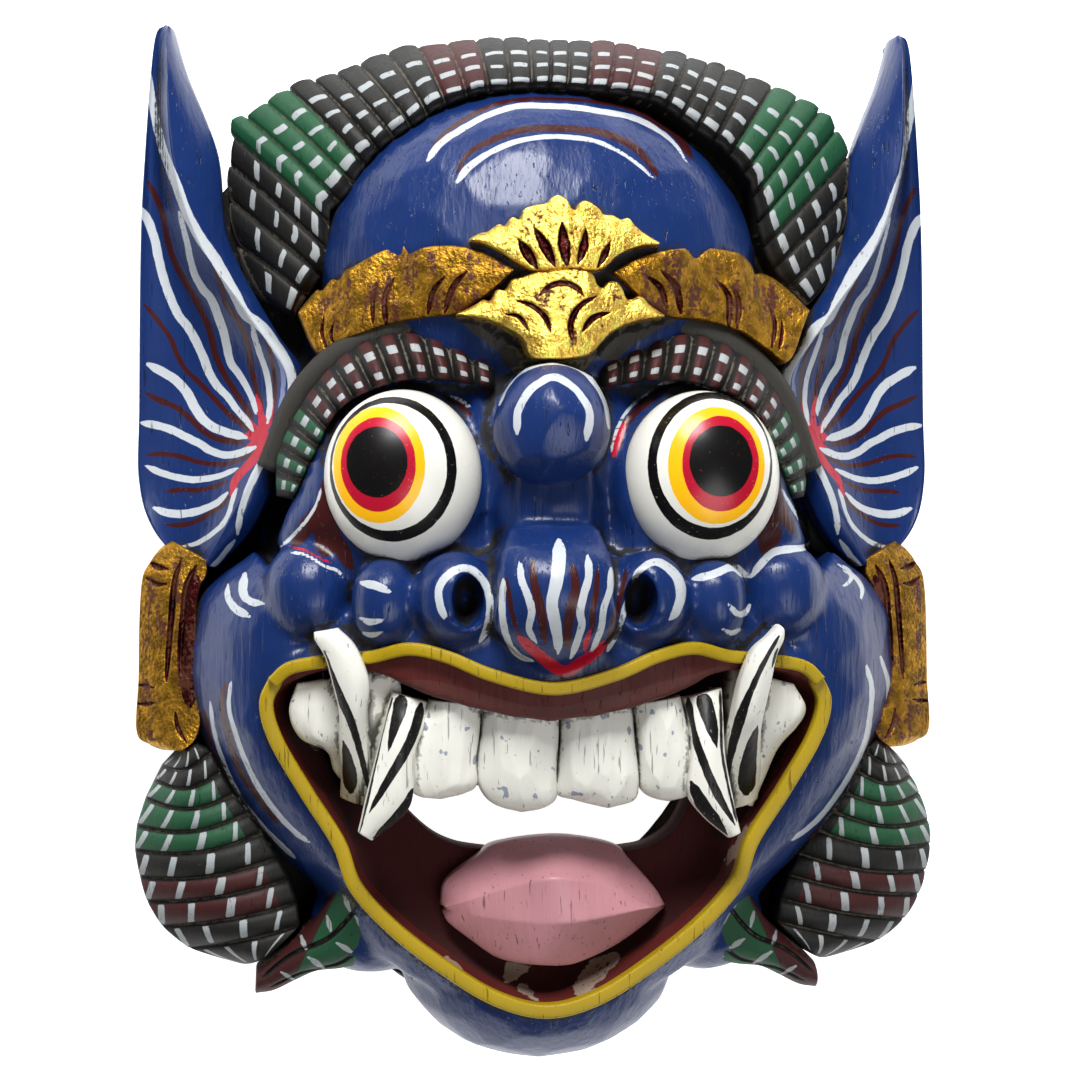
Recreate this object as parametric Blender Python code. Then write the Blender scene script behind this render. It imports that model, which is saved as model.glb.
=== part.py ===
"""A guardian mask carved from one block of light wood, painted, and lying on its back.

X runs across the mask, Y from chin to crown and Z out of the face. The origin is under the
middle of the mask, on the plane of its back rim.

The carving is given in millimetres on a mask 380 mm tall, and follows MASK_HEIGHT. The right
half (positive X) is described, and the left half is its mirror image unless a form says not.
"""

import math

import bmesh
import bpy
import numpy as np
from mathutils import Matrix, Vector

# Overall size, in metres
MASK_HEIGHT = 0.380

# Hollow behind the whole face, in metres
HOLLOW_WIDTH = 0.164
HOLLOW_HEIGHT = 0.262
HOLLOW_DEPTH = 0.052
HOLLOW_DROP = 0.012

# Deeper hollow behind the eyes and the nose, in metres
DEEP_HOLLOW_WIDTH = 0.118
DEEP_HOLLOW_HEIGHT = 0.156
DEEP_HOLLOW_DEPTH = 0.062
DEEP_HOLLOW_RISE = 0.030

# Opening between the upper teeth and the tongue, in metres
MOUTH_FLOOR = 0.050
GAP_WIDTH = 0.103
GAP_HEIGHT = 0.020

# Nostrils, in metres
NOSTRIL_WIDTH = 0.011
NOSTRIL_HEIGHT = 0.019
NOSTRIL_DEPTH = 0.020

# Middle of that opening, in carving millimetres
GAP_MIDDLE = (3.0, -103.3)

# Thickness of the block behind the hair, the ears and the curls, in carving millimetres
BACKING = 22

# Counts
HAIR_LOCKS = 36
BROW_TUFTS = 11
CURL_BANDS = 8
BEARD_STRANDS = 3
DIADEM_LEAVES = 7

# One carving millimetre, in metres
MM = MASK_HEIGHT / 0.380 / 1000

# How far bodies and cutters run on past the back plane, in carving millimetres
MARGIN = 6
# Faces that turn by less than this between them are joined, in radians
FLAT_ENOUGH = math.radians(0.5)
# Shorter edges than this are closed up, in carving millimetres
SMALLEST = 0.012
# A height clear of the whole face, in carving millimetres
CLEAR = 160

# Linear colour, roughness, metallic
PAINTS = {
    "blue": ((0.018, 0.055, 0.200), 0.35, 0.0),
    "black": ((0.028, 0.027, 0.026), 0.50, 0.0),
    "green": ((0.012, 0.100, 0.040), 0.45, 0.0),
    "maroon": ((0.075, 0.018, 0.015), 0.45, 0.0),
    "white": ((0.640, 0.630, 0.590), 0.40, 0.0),
    "yellow": ((0.560, 0.420, 0.010), 0.40, 0.0),
    "pink": ((0.520, 0.230, 0.260), 0.45, 0.0),
    "gold": ((0.560, 0.360, 0.060), 0.35, 0.9),
    "wood": ((0.330, 0.210, 0.110), 0.80, 0.0),
}


class Path:
    """A smooth curve through a few points, read at a share of its length."""

    def __init__(self, points, dense=24):
        points = np.array([tuple(p) + (0,) * (3 - len(p)) for p in points], float)
        ends = np.vstack([2 * points[0] - points[1], points, 2 * points[-1] - points[-2]])
        step = np.linspace(0, 1, dense, endpoint=False)[:, None]
        spans = []
        for a, b, c, d in zip(ends, ends[1:], ends[2:], ends[3:]):
            slope = step * (c - a) / 2
            bend = step**2 * (2 * a - 5 * b + 4 * c - d) / 2
            twist = step**3 * (3 * b - a - 3 * c + d) / 2
            spans.append(b + slope + bend + twist)
        self.line = np.vstack(spans + [points[-1:]])
        lengths = np.linalg.norm(np.diff(self.line, axis=0), axis=1)
        self.along = np.concatenate([[0], np.cumsum(lengths)])
        self.along /= self.along[-1]

    def at(self, share):
        """The point at that share of the curve's length."""
        return np.array([np.interp(share, self.along, self.line[:, i]) for i in range(3)])


def both_halves(points):
    """A line from its right-hand end to the middle, and on to the left-hand end."""
    return list(points) + [(-p[0], *p[1:]) for p in reversed(points) if p[0] > 0]


def on_side(points, side):
    """The points of the right half, or their mirror image where side is -1."""
    return [(side * p[0], *p[1:]) for p in points]


def hill(share, power=1.0):
    """0 at both ends of 0..1 and 1 in the middle, fuller with a lower power."""
    return math.sin(math.pi * min(max(share, 0.0), 1.0)) ** power


def lobes(share, count, power=0.5):
    """1 along the top of each of count rounded ridges, and 0 in the grooves between them."""
    return max(hill((share * count) % 1.0), 1e-9) ** power


def between(edge_a, edge_b, relief=None):
    """A surface for strip(): s runs from edge_a to edge_b, and t along both."""
    path_a, path_b = Path(edge_a), Path(edge_b)

    def place(s, t):
        x, y, z = path_a.at(t) * (1 - s) + path_b.at(t) * s
        return x, y, z + (relief(s, t) if relief else 0)

    return place


class Carving:
    """A set of overlapping bodies that are joined, or cut away, together."""

    def __init__(self, name):
        self.bodies = bpy.data.collections.new(name)
        bpy.context.scene.collection.children.link(self.bodies)

    def add(self, bm, name, paint):
        """Keeps a bmesh drawn in carving millimetres as a body of that paint."""
        bmesh.ops.recalc_face_normals(bm, faces=bm.faces)
        bmesh.ops.triangulate(bm, faces=bm.faces, quad_method="FIXED", ngon_method="BEAUTY")
        bm.transform(Matrix.Scale(MM, 4))
        mesh = bpy.data.meshes.new(name)
        bm.to_mesh(mesh)
        bm.free()
        mesh.materials.append(bpy.data.materials[paint])
        obj = bpy.data.objects.new(name, mesh)
        obj.hide_render = True
        obj.display_type = "WIRE"
        self.bodies.objects.link(obj)
        return obj

    def strip(self, name, paint, steps, place):
        """A carved strip: a grid moved to place(s, t), with sides that run down past the back.

        No two strips end at the same depth, so that no two faces lie in one plane.
        """
        floor = -MARGIN - 0.13 * len(self.bodies.objects)
        bm = bmesh.new()
        bmesh.ops.create_grid(bm, x_segments=steps[0], y_segments=steps[1], size=1)
        for vert in bm.verts:
            vert.co = Vector(place((vert.co.x + 1) / 2, (vert.co.y + 1) / 2))
        bmesh.ops.remove_doubles(bm, verts=bm.verts, dist=0.01)
        rim = [edge for edge in bm.edges if edge.is_boundary]
        made = bmesh.ops.extrude_edge_only(bm, edges=rim)["geom"]
        for vert in (item for item in made if isinstance(item, bmesh.types.BMVert)):
            vert.co.z = floor
        open_rim = [edge for edge in bm.edges if edge.is_boundary]
        bmesh.ops.contextual_create(bm, geom=open_rim)
        return self.add(bm, name, paint)

    def ball(self, name, paint, centre, radii, turn=0.0, squareness=1.0, steps=(12, 8)):
        """An ellipsoid turned in the mask's plane; a squareness under 1 makes it a block."""
        bm = bmesh.new()
        bmesh.ops.create_uvsphere(bm, u_segments=steps[0], v_segments=steps[1], radius=1)
        for vert in bm.verts:
            vert.co = Vector(math.copysign(abs(c) ** squareness, c) for c in vert.co)
        bm.transform(Matrix.Diagonal((*radii, 1)))
        bm.transform(Matrix.Rotation(math.radians(turn), 4, "Z"))
        bm.transform(Matrix.Translation(centre))
        return self.add(bm, name, paint)

    def horn(self, name, paint, points, radii, steps=6, sides=6, stretch=1.0):
        """A round bar of changing radius along a smooth path, stretched along Z about it."""
        path = Path(points)
        bm = bmesh.new()
        rings = []
        for i in range(steps + 1):
            share = i / steps
            centre = path.at(share)
            along = path.at(min(share + 0.02, 1)) - path.at(max(share - 0.02, 0))
            turn = Vector(along).to_track_quat("Z", "Y").to_matrix()
            radius = np.interp(share, np.linspace(0, 1, len(radii)), radii)
            ring = []
            for j in range(sides):
                angle = 2 * math.pi * (j + 0.5) / sides
                offset = turn @ Vector((math.cos(angle), math.sin(angle), 0)) * radius
                offset.z *= stretch
                ring.append(bm.verts.new(Vector(centre) + offset))
            rings.append(ring)
        for ring, after in zip(rings, rings[1:]):
            for j in range(sides):
                k = (j + 1) % sides
                bm.faces.new((ring[j], ring[k], after[k], after[j]))
        bm.faces.new(rings[0])
        bm.faces.new(rings[-1])
        return self.add(bm, name, paint)

    def prism(self, name, paint, outline, low, high, narrowing=1.0, points=32):
        """An upright body with a smooth outline, narrower at its low end."""
        path = Path(list(outline) + [outline[0]])
        ring = [path.at(i / points) for i in range(points)]
        middle = sum(ring) / points
        bm = bmesh.new()
        levels = ((low, narrowing), (low + (1 - narrowing) * 45, 1.0), (high, 1.0))
        if narrowing == 1.0:
            levels = (levels[0], levels[2])
        rings = []
        for height, width in levels:
            spots = [middle + (p - middle) * width for p in ring]
            rings.append([bm.verts.new((p[0], p[1], height)) for p in spots])
        for lower, upper in zip(rings, rings[1:]):
            for j in range(points):
                k = (j + 1) % points
                bm.faces.new((lower[j], lower[k], upper[k], upper[j]))
        bm.faces.new(rings[0])
        bm.faces.new(rings[-1])
        return self.add(bm, name, paint)


def carve_skull(forms):
    """The blue forehead, bridge and cheeks that the other forms stand on."""
    edge = [
        (0, 178), (60, 170), (94, 156), (108, 138), (120, 124), (134, 100), (138, 20), (126, -8),
        (136, -30), (137, -60), (128, -78), (138, -98), (136, -124), (118, -143), (92, -148),
        (70, -150), (42, -166), (24, -177), (0, -182),
    ]
    outline = edge + [(-x, y) for x, y in reversed(edge[1:-1])]
    forms.prism("backing", "black", outline, -MARGIN, BACKING, points=36)
    forms.ball("forehead", "blue", (0, 98, 38), (80, 66, 50), steps=(16, 10))
    forms.ball("middle", "blue", (0, 26, 56), (46, 46, 32))
    forms.ball("bridge", "blue", (0, 8, 80), (20, 26, 22))
    for side in (-1, 1):
        forms.ball("under_eye", "blue", (side * 45, -5, 62), (45, 25, 26))
        forms.ball("cheek", "blue", (side * 84.5, -18.5, 70), (16.5, 19, 18))
        forms.ball("inner_cheek", "blue", (side * 58, -22, 90), (12, 15.5, 13))


def carve_hair(forms):
    """The fan of locks around the crown, with a groove between each pair."""
    inner = Path(
        both_halves(
            [
                (85, 90, 44),
                (80, 100, 48),
                (79, 110, 52),
                (76, 117, 54),
                (70, 126, 57),
                (67, 133, 58),
                (58, 143, 59),
                (46, 153, 60),
                (34, 158, 60),
                (18, 162, 60),
                (0, 163, 60),
            ]
        )
    )
    outer = Path(
        both_halves(
            [
                (110, 105, 28),
                (116, 124, 29),
                (114, 138, 30),
                (117, 151, 30),
                (101, 162, 30),
                (92, 168, 30),
                (75, 173, 30),
                (56, 181, 30),
                (43, 183, 30),
                (24, 186, 30),
                (0, 187, 30),
            ]
        )
    )

    def place(s, t):
        lock = lobes(t, HAIR_LOCKS)
        reach = s * (0.93 + 0.07 * lock)
        x, y, z = inner.at(t) * (1 - reach) + outer.at(t) * reach
        return x, y, z + 5 * hill(reach) - 4.5 * (1 - lock)

    forms.strip("hair", "black", (2, HAIR_LOCKS * 2), place)


def carve_ears(forms):
    """Tall pointed ears with a raised crest and a hollowed outer field."""
    outer = [
        (137, 190, 28),
        (141, 183, 28),
        (144.5, 140, 27),
        (146, 107, 26),
        (146.5, 50, 26),
        (146.5, 22, 28),
        (141, 4, 32),
        (127, -12, 34),
    ]
    crest = [
        (136, 189, 32),
        (136, 176, 40),
        (134, 140, 46),
        (124, 108, 48),
        (107, 83, 48),
        (92, 59, 50),
        (97, 40, 52),
        (107, 18, 52),
        (122, -9, 44),
    ]
    inner = [
        (134, 188, 28),
        (129, 171, 30),
        (118, 142, 34),
        (114, 110, 36),
        (97, 77, 40),
        (86, 60, 44),
        (90, 42, 46),
        (103, 8, 46),
        (118, -10, 38),
    ]
    for side in (-1, 1):
        field = between(
            on_side(outer, side),
            on_side(crest, side),
            lambda s, t: -11 * hill(t, 0.6) * hill(s, 0.8),
        )
        rim = between(on_side(crest, side), on_side(inner, side))

        def place(s, t, field=field, rim=rim):
            return field(s * 2, t) if s <= 0.5 else rim(s * 2 - 1, t)

        forms.strip("ear", "blue", (4, 8), place)


def carve_diadem(forms):
    """The gold band over the brows, with its two front leaves one above the other."""
    upper = [(90.5, 81, 50), (80, 95, 54), (62, 104, 62), (44, 105, 70), (28, 104.5, 78), (12, 98, 84)]
    lower = [(87, 64.5, 56), (71, 72, 64), (54, 77.5, 72), (40, 81, 78), (27, 84, 84), (10, 90, 88)]
    for side in (-1, 1):
        forms.strip(
            "diadem",
            "gold",
            (2, DIADEM_LEAVES * 3),
            between(
                on_side(lower, side),
                on_side(upper, side),
                lambda s, t: 4 + 3 * hill(s, 0.5) - 3.5 * (1 - lobes(t, DIADEM_LEAVES)) * s,
            ),
        )
    leaf_low = both_halves([(33, 108, 88), (16, 96, 91), (0, 90, 92)])
    leaf_high = both_halves(
        [(33, 108, 88), (25, 113, 88), (17, 117, 88), (10, 118.5, 88), (5, 116.5, 88), (0, 120, 88)]
    )
    forms.strip(
        "upper_leaf", "gold", (2, 12), between(leaf_low, leaf_high, lambda s, t: 4 * hill(s, 0.6))
    )
    front_low = both_halves([(34, 78, 88), (14, 66, 94), (0, 63, 97)])
    front_high = both_halves(
        [(34, 78, 88), (25, 85.5, 92), (17, 91, 94), (8, 94.3, 95), (0, 95.6, 95)]
    )
    forms.strip(
        "lower_leaf", "gold", (2, 12), between(front_low, front_high, lambda s, t: 5 * hill(s, 0.6))
    )


def carve_brows(forms):
    """The soft ridge under the diadem, and the brows with their tufts."""
    ridge = [(0, 60, 78), (14, 68, 76), (30, 78, 72), (60, 74, 66), (85, 55, 58), (99, 26, 52)]
    forms.horn("brow_ridge", "black", both_halves(ridge[::-1]), (6, 7.5, 7.5, 7.5, 6), steps=20)
    outer = [
        (19, 63, 76),
        (33, 69, 76),
        (51, 73.5, 76),
        (69, 68, 72),
        (84, 53, 68),
        (95, 32, 62),
        (96, 16, 60),
    ]
    inner = [
        (19, 54, 84),
        (36, 57, 86),
        (54, 56, 86),
        (73, 47, 84),
        (83, 30, 78),
        (90, 15, 70),
    ]
    for side in (-1, 1):
        forms.strip(
            "brow",
            "maroon",
            (2, BROW_TUFTS * 2),
            between(
                on_side(inner, side),
                on_side(outer, side),
                lambda s, t: 4 * hill(s, 0.7) - 3 * (1 - lobes(t, BROW_TUFTS)),
            ),
        )


def carve_eyes(forms):
    """Bulging round eyes in almond-shaped sockets."""
    upper_lid = [(20, 20, 78), (30, 45, 76), (53, 57, 74), (77, 44, 72), (90, 14, 68), (96, -2, 64)]
    lower_lid = [(20, 20, 78), (27, 0, 82), (52, -10, 84), (72, -3, 78), (86, -2, 72), (96, -2, 64)]
    for side in (-1, 1):
        forms.strip(
            "eyelid",
            "blue",
            (3, 7),
            between(
                on_side(lower_lid, side),
                on_side(upper_lid, side),
                lambda s, t: 12 * hill(s, 0.6) * hill(t, 0.6),
            ),
        )
        forms.ball("eye", "white", (side * 53, 25.5, 76), (27.5, 27.5, 27.5), steps=(16, 10))


def carve_nose(forms):
    """The ball on the bridge, the broad nose under it and the flared nostrils."""
    forms.ball("nose_ball", "black", (0, 40, 98), (20.5, 22, 22), steps=(12, 8))
    right = [(15, 5, 104), (19, -5, 116), (20, -18, 120), (21, -30, 116), (12, -40, 108), (2, -46, 102)]
    left = on_side(right, -1)
    forms.strip(
        "nose", "blue", (4, 6), between(left, right, lambda s, t: 7 * hill(s, 0.7) * hill(t, 0.4))
    )
    for side in (-1, 1):
        forms.ball("nostril_wing", "blue", (side * 33.5, -20.5, 97), (15, 17, 15))


def carve_cheeks(forms):
    """The folds that run from the cheeks round the mouth to the jaw."""
    outer = [
        (102, -4, 52),
        (121, -20, 40),
        (127, -40, 36),
        (126, -58, 36),
        (116, -85, 36),
        (100, -109, 36),
        (80, -127, 38),
        (66, -141, 42),
    ]
    inner = [
        (84, -26, 70),
        (84, -44, 74),
        (84, -58, 72),
        (82, -70, 70),
        (72, -90, 69),
        (62, -105, 68),
        (56, -118, 69),
        (46, -130, 71),
    ]
    for side in (-1, 1):
        forms.strip(
            "jowl",
            "blue",
            (4, 7),
            between(
                on_side(outer, side),
                on_side(inner, side),
                lambda s, t: 19 * hill(s, 0.8) * (0.7 + 0.3 * hill(t, 0.5)),
            ),
        )


MOUTH_LINE = [
    (97, -50, 80),
    (91, -45, 82),
    (78, -42.5, 85),
    (63.5, -41, 90),
    (50, -38, 96),
    (37, -40.5, 100),
    (21, -47, 103),
    (0, -51.5, 105),
]

JAW_LINE = [
    (96, -49, 78),
    (99.5, -58, 77),
    (96, -71, 76),
    (85, -90, 75),
    (74, -107.5, 74),
    (68, -123, 74),
    (55, -137.5, 75),
    (37, -151.5, 76),
    (18, -163, 77),
    (0, -167.5, 77),
]


def carve_lips(forms):
    """The muzzle, the upper lip under it, the edge of the lower jaw and both yellow rims."""
    muzzle_top = [(94, -34, 66), (70, -26, 82), (46, -18, 90), (24, -6, 96), (0, 2, 98)]
    forms.strip(
        "muzzle", "blue", (2, 12), between(both_halves(MOUTH_LINE), both_halves(muzzle_top))
    )
    lip_low = [
        (92, -58, 74), (86, -52, 78), (75, -47, 82), (58, -49, 87), (42, -56, 90), (20, -62, 92),
        (0, -65, 92),
    ]
    lip_high = [(x, y + 3, z - 2) for x, y, z in MOUTH_LINE]
    forms.strip(
        "upper_lip",
        "maroon",
        (2, 12),
        between(both_halves(lip_low), both_halves(lip_high), lambda s, t: 3 * hill(s)),
    )
    jaw_low = [
        (88, -100, 60), (78, -122, 54), (66, -144, 56), (44, -160, 60), (20, -172, 62), (0, -175, 62),
    ]
    jaw_high = [
        (66, -88, 77), (57, -102, 76), (50, -113, 76), (40, -124, 77), (26, -134, 78), (0, -147, 79),
    ]
    forms.strip(
        "jaw",
        "blue",
        (2, 12),
        between(both_halves(jaw_low), both_halves(jaw_high), lambda s, t: 7 * hill(s)),
    )
    forms.ball("palate", "maroon", (0, -112, 20), (84, 56, 44))
    forms.horn("lip_rim", "yellow", both_halves(MOUTH_LINE), (2.4, 2.4), steps=18, sides=4, stretch=3)
    forms.horn("jaw_rim", "yellow", both_halves(JAW_LINE), (2.9, 2.9), steps=22, sides=4, stretch=2.2)


def carve_teeth(forms):
    """Four front teeth, a molar at each side, two fangs and two tusks."""
    fronts = [
        (-48.5, -25.2, -57, -90.9),
        (-25.6, 3.5, -60, -95),
        (3.3, 30.6, -60, -93.7),
        (30.4, 50.1, -57, -92),
    ]
    for left, right, top, bottom in fronts:
        centre = ((left + right) / 2, (top + bottom) / 2, 80)
        size = ((right - left) / 2, (top - bottom) / 2, 15)
        forms.ball("front_tooth", "white", centre, size, squareness=0.45, steps=(8, 6))
    forms.ball("molar", "white", (-77, -66, 62), (12, 19, 18), turn=-20, squareness=0.7, steps=(8, 6))
    forms.ball("molar", "white", (82, -64, 62), (9, 15, 18), turn=15, squareness=0.7, steps=(8, 6))
    forms.horn(
        "fang", "white", [(-48.5, -54, 88), (-50, -70, 92), (-53, -87, 92), (-64, -103, 88)],
        (7, 7.6, 7, 4.4, 0.9),
    )
    forms.horn(
        "fang", "white", [(54, -52, 86), (55, -70, 90), (57, -87, 90), (65.5, -103, 86)],
        (7, 7, 6.5, 4.2, 0.9),
    )
    forms.horn(
        "tusk", "white", [(58, -98, 46), (64, -84, 78), (68, -64, 96), (73, -48, 102), (79, -31, 101)],
        (9, 9.5, 8.5, 6, 1.0),
    )
    forms.horn(
        "tusk", "white", [(-59, -98, 46), (-65, -84, 78), (-70, -64, 96), (-74, -48, 102), (-77, -31, 100)],
        (9, 9.5, 9, 7.5, 5.0),
    )


def carve_tongue(forms):
    """The tongue, with a raised middle, that lies on the lower jaw."""
    left = [(-10, -107, 66), (-38, -118, 58), (-39, -132, 58), (-24, -145, 60), (-4, -151, 62)]
    right = [(10, -107, 66), (40, -118, 58), (41, -132, 58), (26, -145, 60), (6, -151, 62)]
    forms.strip("tongue", "pink", (6, 6), between(left, right, lambda s, t: 14 * hill(s, 0.8)))


def carve_chin(forms):
    """The chin under the jaw's edge, with the tufts of the beard at its sides."""
    forms.ball("chin", "blue", (0, -150, 36), (51, 40, 42), steps=(16, 8))
    tip = [(76, -121, 56), (88, -135, 50), (99, -153, 42), (101, -163, 36)]
    root = [(55, -146, 54), (66, -151, 50), (80, -158, 43), (97, -166, 36)]
    for side in (-1, 1):
        forms.ball("jaw_lobe", "blue", (side * 62, -140, 36), (22, 19, 22))
        forms.strip(
            "beard",
            "green",
            (BEARD_STRANDS * 2, 3),
            between(
                on_side(tip, side),
                on_side(root, side),
                lambda s, t: 6 * hill(t, 0.7) - 4 * (1 - lobes(s, BEARD_STRANDS)),
            ),
        )


def carve_curls(forms):
    """The banded curls of hair that frame the jaw, and the gold drops in front of the ears."""
    outer = [
        (132, -77, 28),
        (142, -89, 28),
        (147, -102, 28),
        (147, -117, 28),
        (142.5, -131, 28),
        (134, -142, 28),
        (123, -148.5, 28),
        (104, -154, 28),
    ]
    inner = [
        (104, -74, 42),
        (103, -84, 42),
        (97, -93, 42),
        (91, -101, 42),
        (85, -108, 42),
        (78, -114, 42),
        (71, -119, 42),
        (66, -126, 42),
    ]
    drop_out = [
        (137, -2, 30),
        (144.5, -11, 30),
        (147, -22, 30),
        (147.5, -45, 30),
        (148, -70, 30),
        (138, -78, 30),
    ]
    drop_in = [
        (122, -7, 38),
        (124, -18, 38),
        (124, -32, 38),
        (122, -50, 38),
        (124, -70, 38),
        (132, -78, 38),
    ]
    for side in (-1, 1):
        forms.strip(
            "curls",
            "black",
            (3, CURL_BANDS * 2),
            between(
                on_side(outer, side),
                on_side(inner, side),
                lambda s, t: 14 * hill(0.15 + s * 0.7, 0.8) - 4.5 * (1 - lobes(t, CURL_BANDS)),
            ),
        )
        forms.strip(
            "ear_drop",
            "gold",
            (6, 4),
            between(
                on_side(drop_out, side),
                on_side(drop_in, side),
                lambda s, t: 5 - 3.5 * (1 - lobes(s, 3)),
            ),
        )


def hollow_out(cutters):
    """The hollows behind the face, the gap into the mouth, the nostrils and the flat back."""
    cutters.ball(
        "hollow",
        "wood",
        (0, -HOLLOW_DROP / MM, 0),
        (HOLLOW_WIDTH / MM / 2, HOLLOW_HEIGHT / MM / 2, HOLLOW_DEPTH / MM),
        steps=(18, 8),
    )
    cutters.ball(
        "deep_hollow",
        "wood",
        (0, DEEP_HOLLOW_RISE / MM, -0.4),
        (DEEP_HOLLOW_WIDTH / MM / 2, DEEP_HOLLOW_HEIGHT / MM / 2, DEEP_HOLLOW_DEPTH / MM),
        steps=(14, 8),
    )
    half_width, half_height = GAP_WIDTH / MM / 2, GAP_HEIGHT / MM / 2
    gap = [
        (-half_width, 3 - half_height / 4),
        (-half_width * 0.55, -half_height),
        (0, -half_height * 0.8),
        (half_width * 0.55, -half_height),
        (half_width, 3 - half_height / 4),
        (half_width * 0.55, half_height),
        (0, half_height * 0.9),
        (-half_width * 0.55, half_height),
    ]
    gap = [(x + GAP_MIDDLE[0], y + GAP_MIDDLE[1]) for x, y in gap]
    cutters.prism("mouth_gap", "wood", gap, -MARGIN, MOUTH_FLOOR / MM + 15, points=24)
    for side in (-1, 1):
        cutters.ball(
            "nostril",
            "black",
            (side * 30, -21.3, 108.4),
            (NOSTRIL_WIDTH / MM / 2, NOSTRIL_HEIGHT / MM / 2, NOSTRIL_DEPTH / MM),
            steps=(12, 8),
        )
    bm = bmesh.new()
    bmesh.ops.create_cube(bm, size=1)
    bm.transform(Matrix.Diagonal((CLEAR * 4, CLEAR * 4, CLEAR, 1)))
    bm.transform(Matrix.Translation((0, 0, -CLEAR / 2)))
    cutters.add(bm, "back_plane", "wood")


def combine(target, operation, carving):
    """Joins or cuts every body of a carving with the target, keeping their paints."""
    step = target.modifiers.new(carving.bodies.name, "BOOLEAN")
    step.operation = operation
    step.operand_type = "COLLECTION"
    step.collection = carving.bodies
    step.solver = "EXACT"
    step.material_mode = "TRANSFER"


def make_paints():
    """One material for each paint, for the gold leaf and for the bare wood."""
    for name, (colour, roughness, metallic) in PAINTS.items():
        paint = bpy.data.materials.new(name)
        paint.use_nodes = True
        shader = paint.node_tree.nodes["Principled BSDF"]
        shader.inputs["Base Color"].default_value = (*colour, 1)
        shader.inputs["Roughness"].default_value = roughness
        shader.inputs["Metallic"].default_value = metallic
        paint.diffuse_color = (*colour, 1)


def clear_scene():
    """Removes whatever the file starts with."""
    for obj in list(bpy.data.objects):
        bpy.data.objects.remove(obj)


def finished_mesh(carved):
    """The carved surface as one clean mesh, its origin under the middle of the mask."""
    bpy.context.view_layer.update()
    graph = bpy.context.evaluated_depsgraph_get()
    mesh = bpy.data.meshes.new_from_object(carved.evaluated_get(graph))
    mesh.name = "mask"
    bm = bmesh.new()
    bm.from_mesh(mesh)
    bmesh.ops.remove_doubles(bm, verts=bm.verts, dist=SMALLEST * MM)
    bmesh.ops.dissolve_degenerate(bm, edges=bm.edges, dist=SMALLEST * MM)
    bmesh.ops.dissolve_limit(bm, angle_limit=FLAT_ENOUGH, verts=bm.verts, edges=bm.edges)
    loose = [edge for edge in bm.edges if not edge.link_faces]
    bmesh.ops.delete(bm, geom=loose, context="EDGES")
    bmesh.ops.triangulate(bm, faces=bm.faces)
    low = [min(vert.co[i] for vert in bm.verts) for i in range(3)]
    high = [max(vert.co[i] for vert in bm.verts) for i in range(3)]
    middle = Vector(((low[0] + high[0]) / 2, (low[1] + high[1]) / 2, low[2]))
    bm.transform(Matrix.Translation(-middle))
    bm.to_mesh(mesh)
    bm.free()
    mesh.shade_smooth()
    mesh.set_sharp_from_angle(angle=math.radians(35))
    return mesh


def main():
    """Carves the mask."""
    clear_scene()
    make_paints()

    base = Carving("base")
    block = base.ball("block", "blue", (0, -15, 0), (112, 168, 62), steps=(16, 8))

    forms = Carving("forms")
    carve_skull(forms)
    carve_hair(forms)
    carve_ears(forms)
    carve_diadem(forms)
    carve_brows(forms)
    carve_eyes(forms)
    carve_nose(forms)
    carve_cheeks(forms)
    carve_lips(forms)
    carve_chin(forms)
    carve_curls(forms)

    mouth = Carving("mouth")
    opening = [
        (0, -63.5), (20, -60.5), (42, -54.5), (58, -47.5), (75, -45.8), (88, -48.5), (95, -52),
        (98, -59), (94.8, -71), (83.8, -89.5), (72.8, -106.8), (66.8, -122), (54, -136.5),
        (36.4, -150.3), (17.7, -161.8), (0, -166.3),
    ]
    whole = opening + [(-x, y) for x, y in reversed(opening[1:-1])]
    mouth.prism("mouth", "maroon", whole, MOUTH_FLOOR / MM, CLEAR, narrowing=0.8)

    fillings = Carving("fillings")
    carve_teeth(fillings)
    carve_tongue(fillings)

    cutters = Carving("cutters")
    hollow_out(cutters)

    combine(block, "UNION", forms)
    combine(block, "DIFFERENCE", mouth)
    combine(block, "UNION", fillings)
    combine(block, "DIFFERENCE", cutters)

    mask = bpy.data.objects.new("mask", finished_mesh(block))
    for obj in list(bpy.data.objects):
        if obj is not mask:
            bpy.data.objects.remove(obj)
    for collection in list(bpy.data.collections):
        bpy.data.collections.remove(collection)
    carving = bpy.data.collections.new("guardian_mask")
    bpy.context.scene.collection.children.link(carving)
    carving.objects.link(mask)


main()
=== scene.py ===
"""A carved and painted guardian mask, lying on its back on a pale floor.

Lengths are in millimetres unless a name says otherwise, in the frame of the carved block: X
across the mask, Y from chin to crown and Z out of the face. Brush strokes are given by their
pixels in the photograph and are laid on the carving along the camera's lines of sight.
"""

from __future__ import annotations

import logging
import math
from dataclasses import dataclass, field
from enum import Enum
from typing import Callable, Sequence

import bmesh
import bpy
import numpy as np
from mathutils import Matrix, Vector

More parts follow.
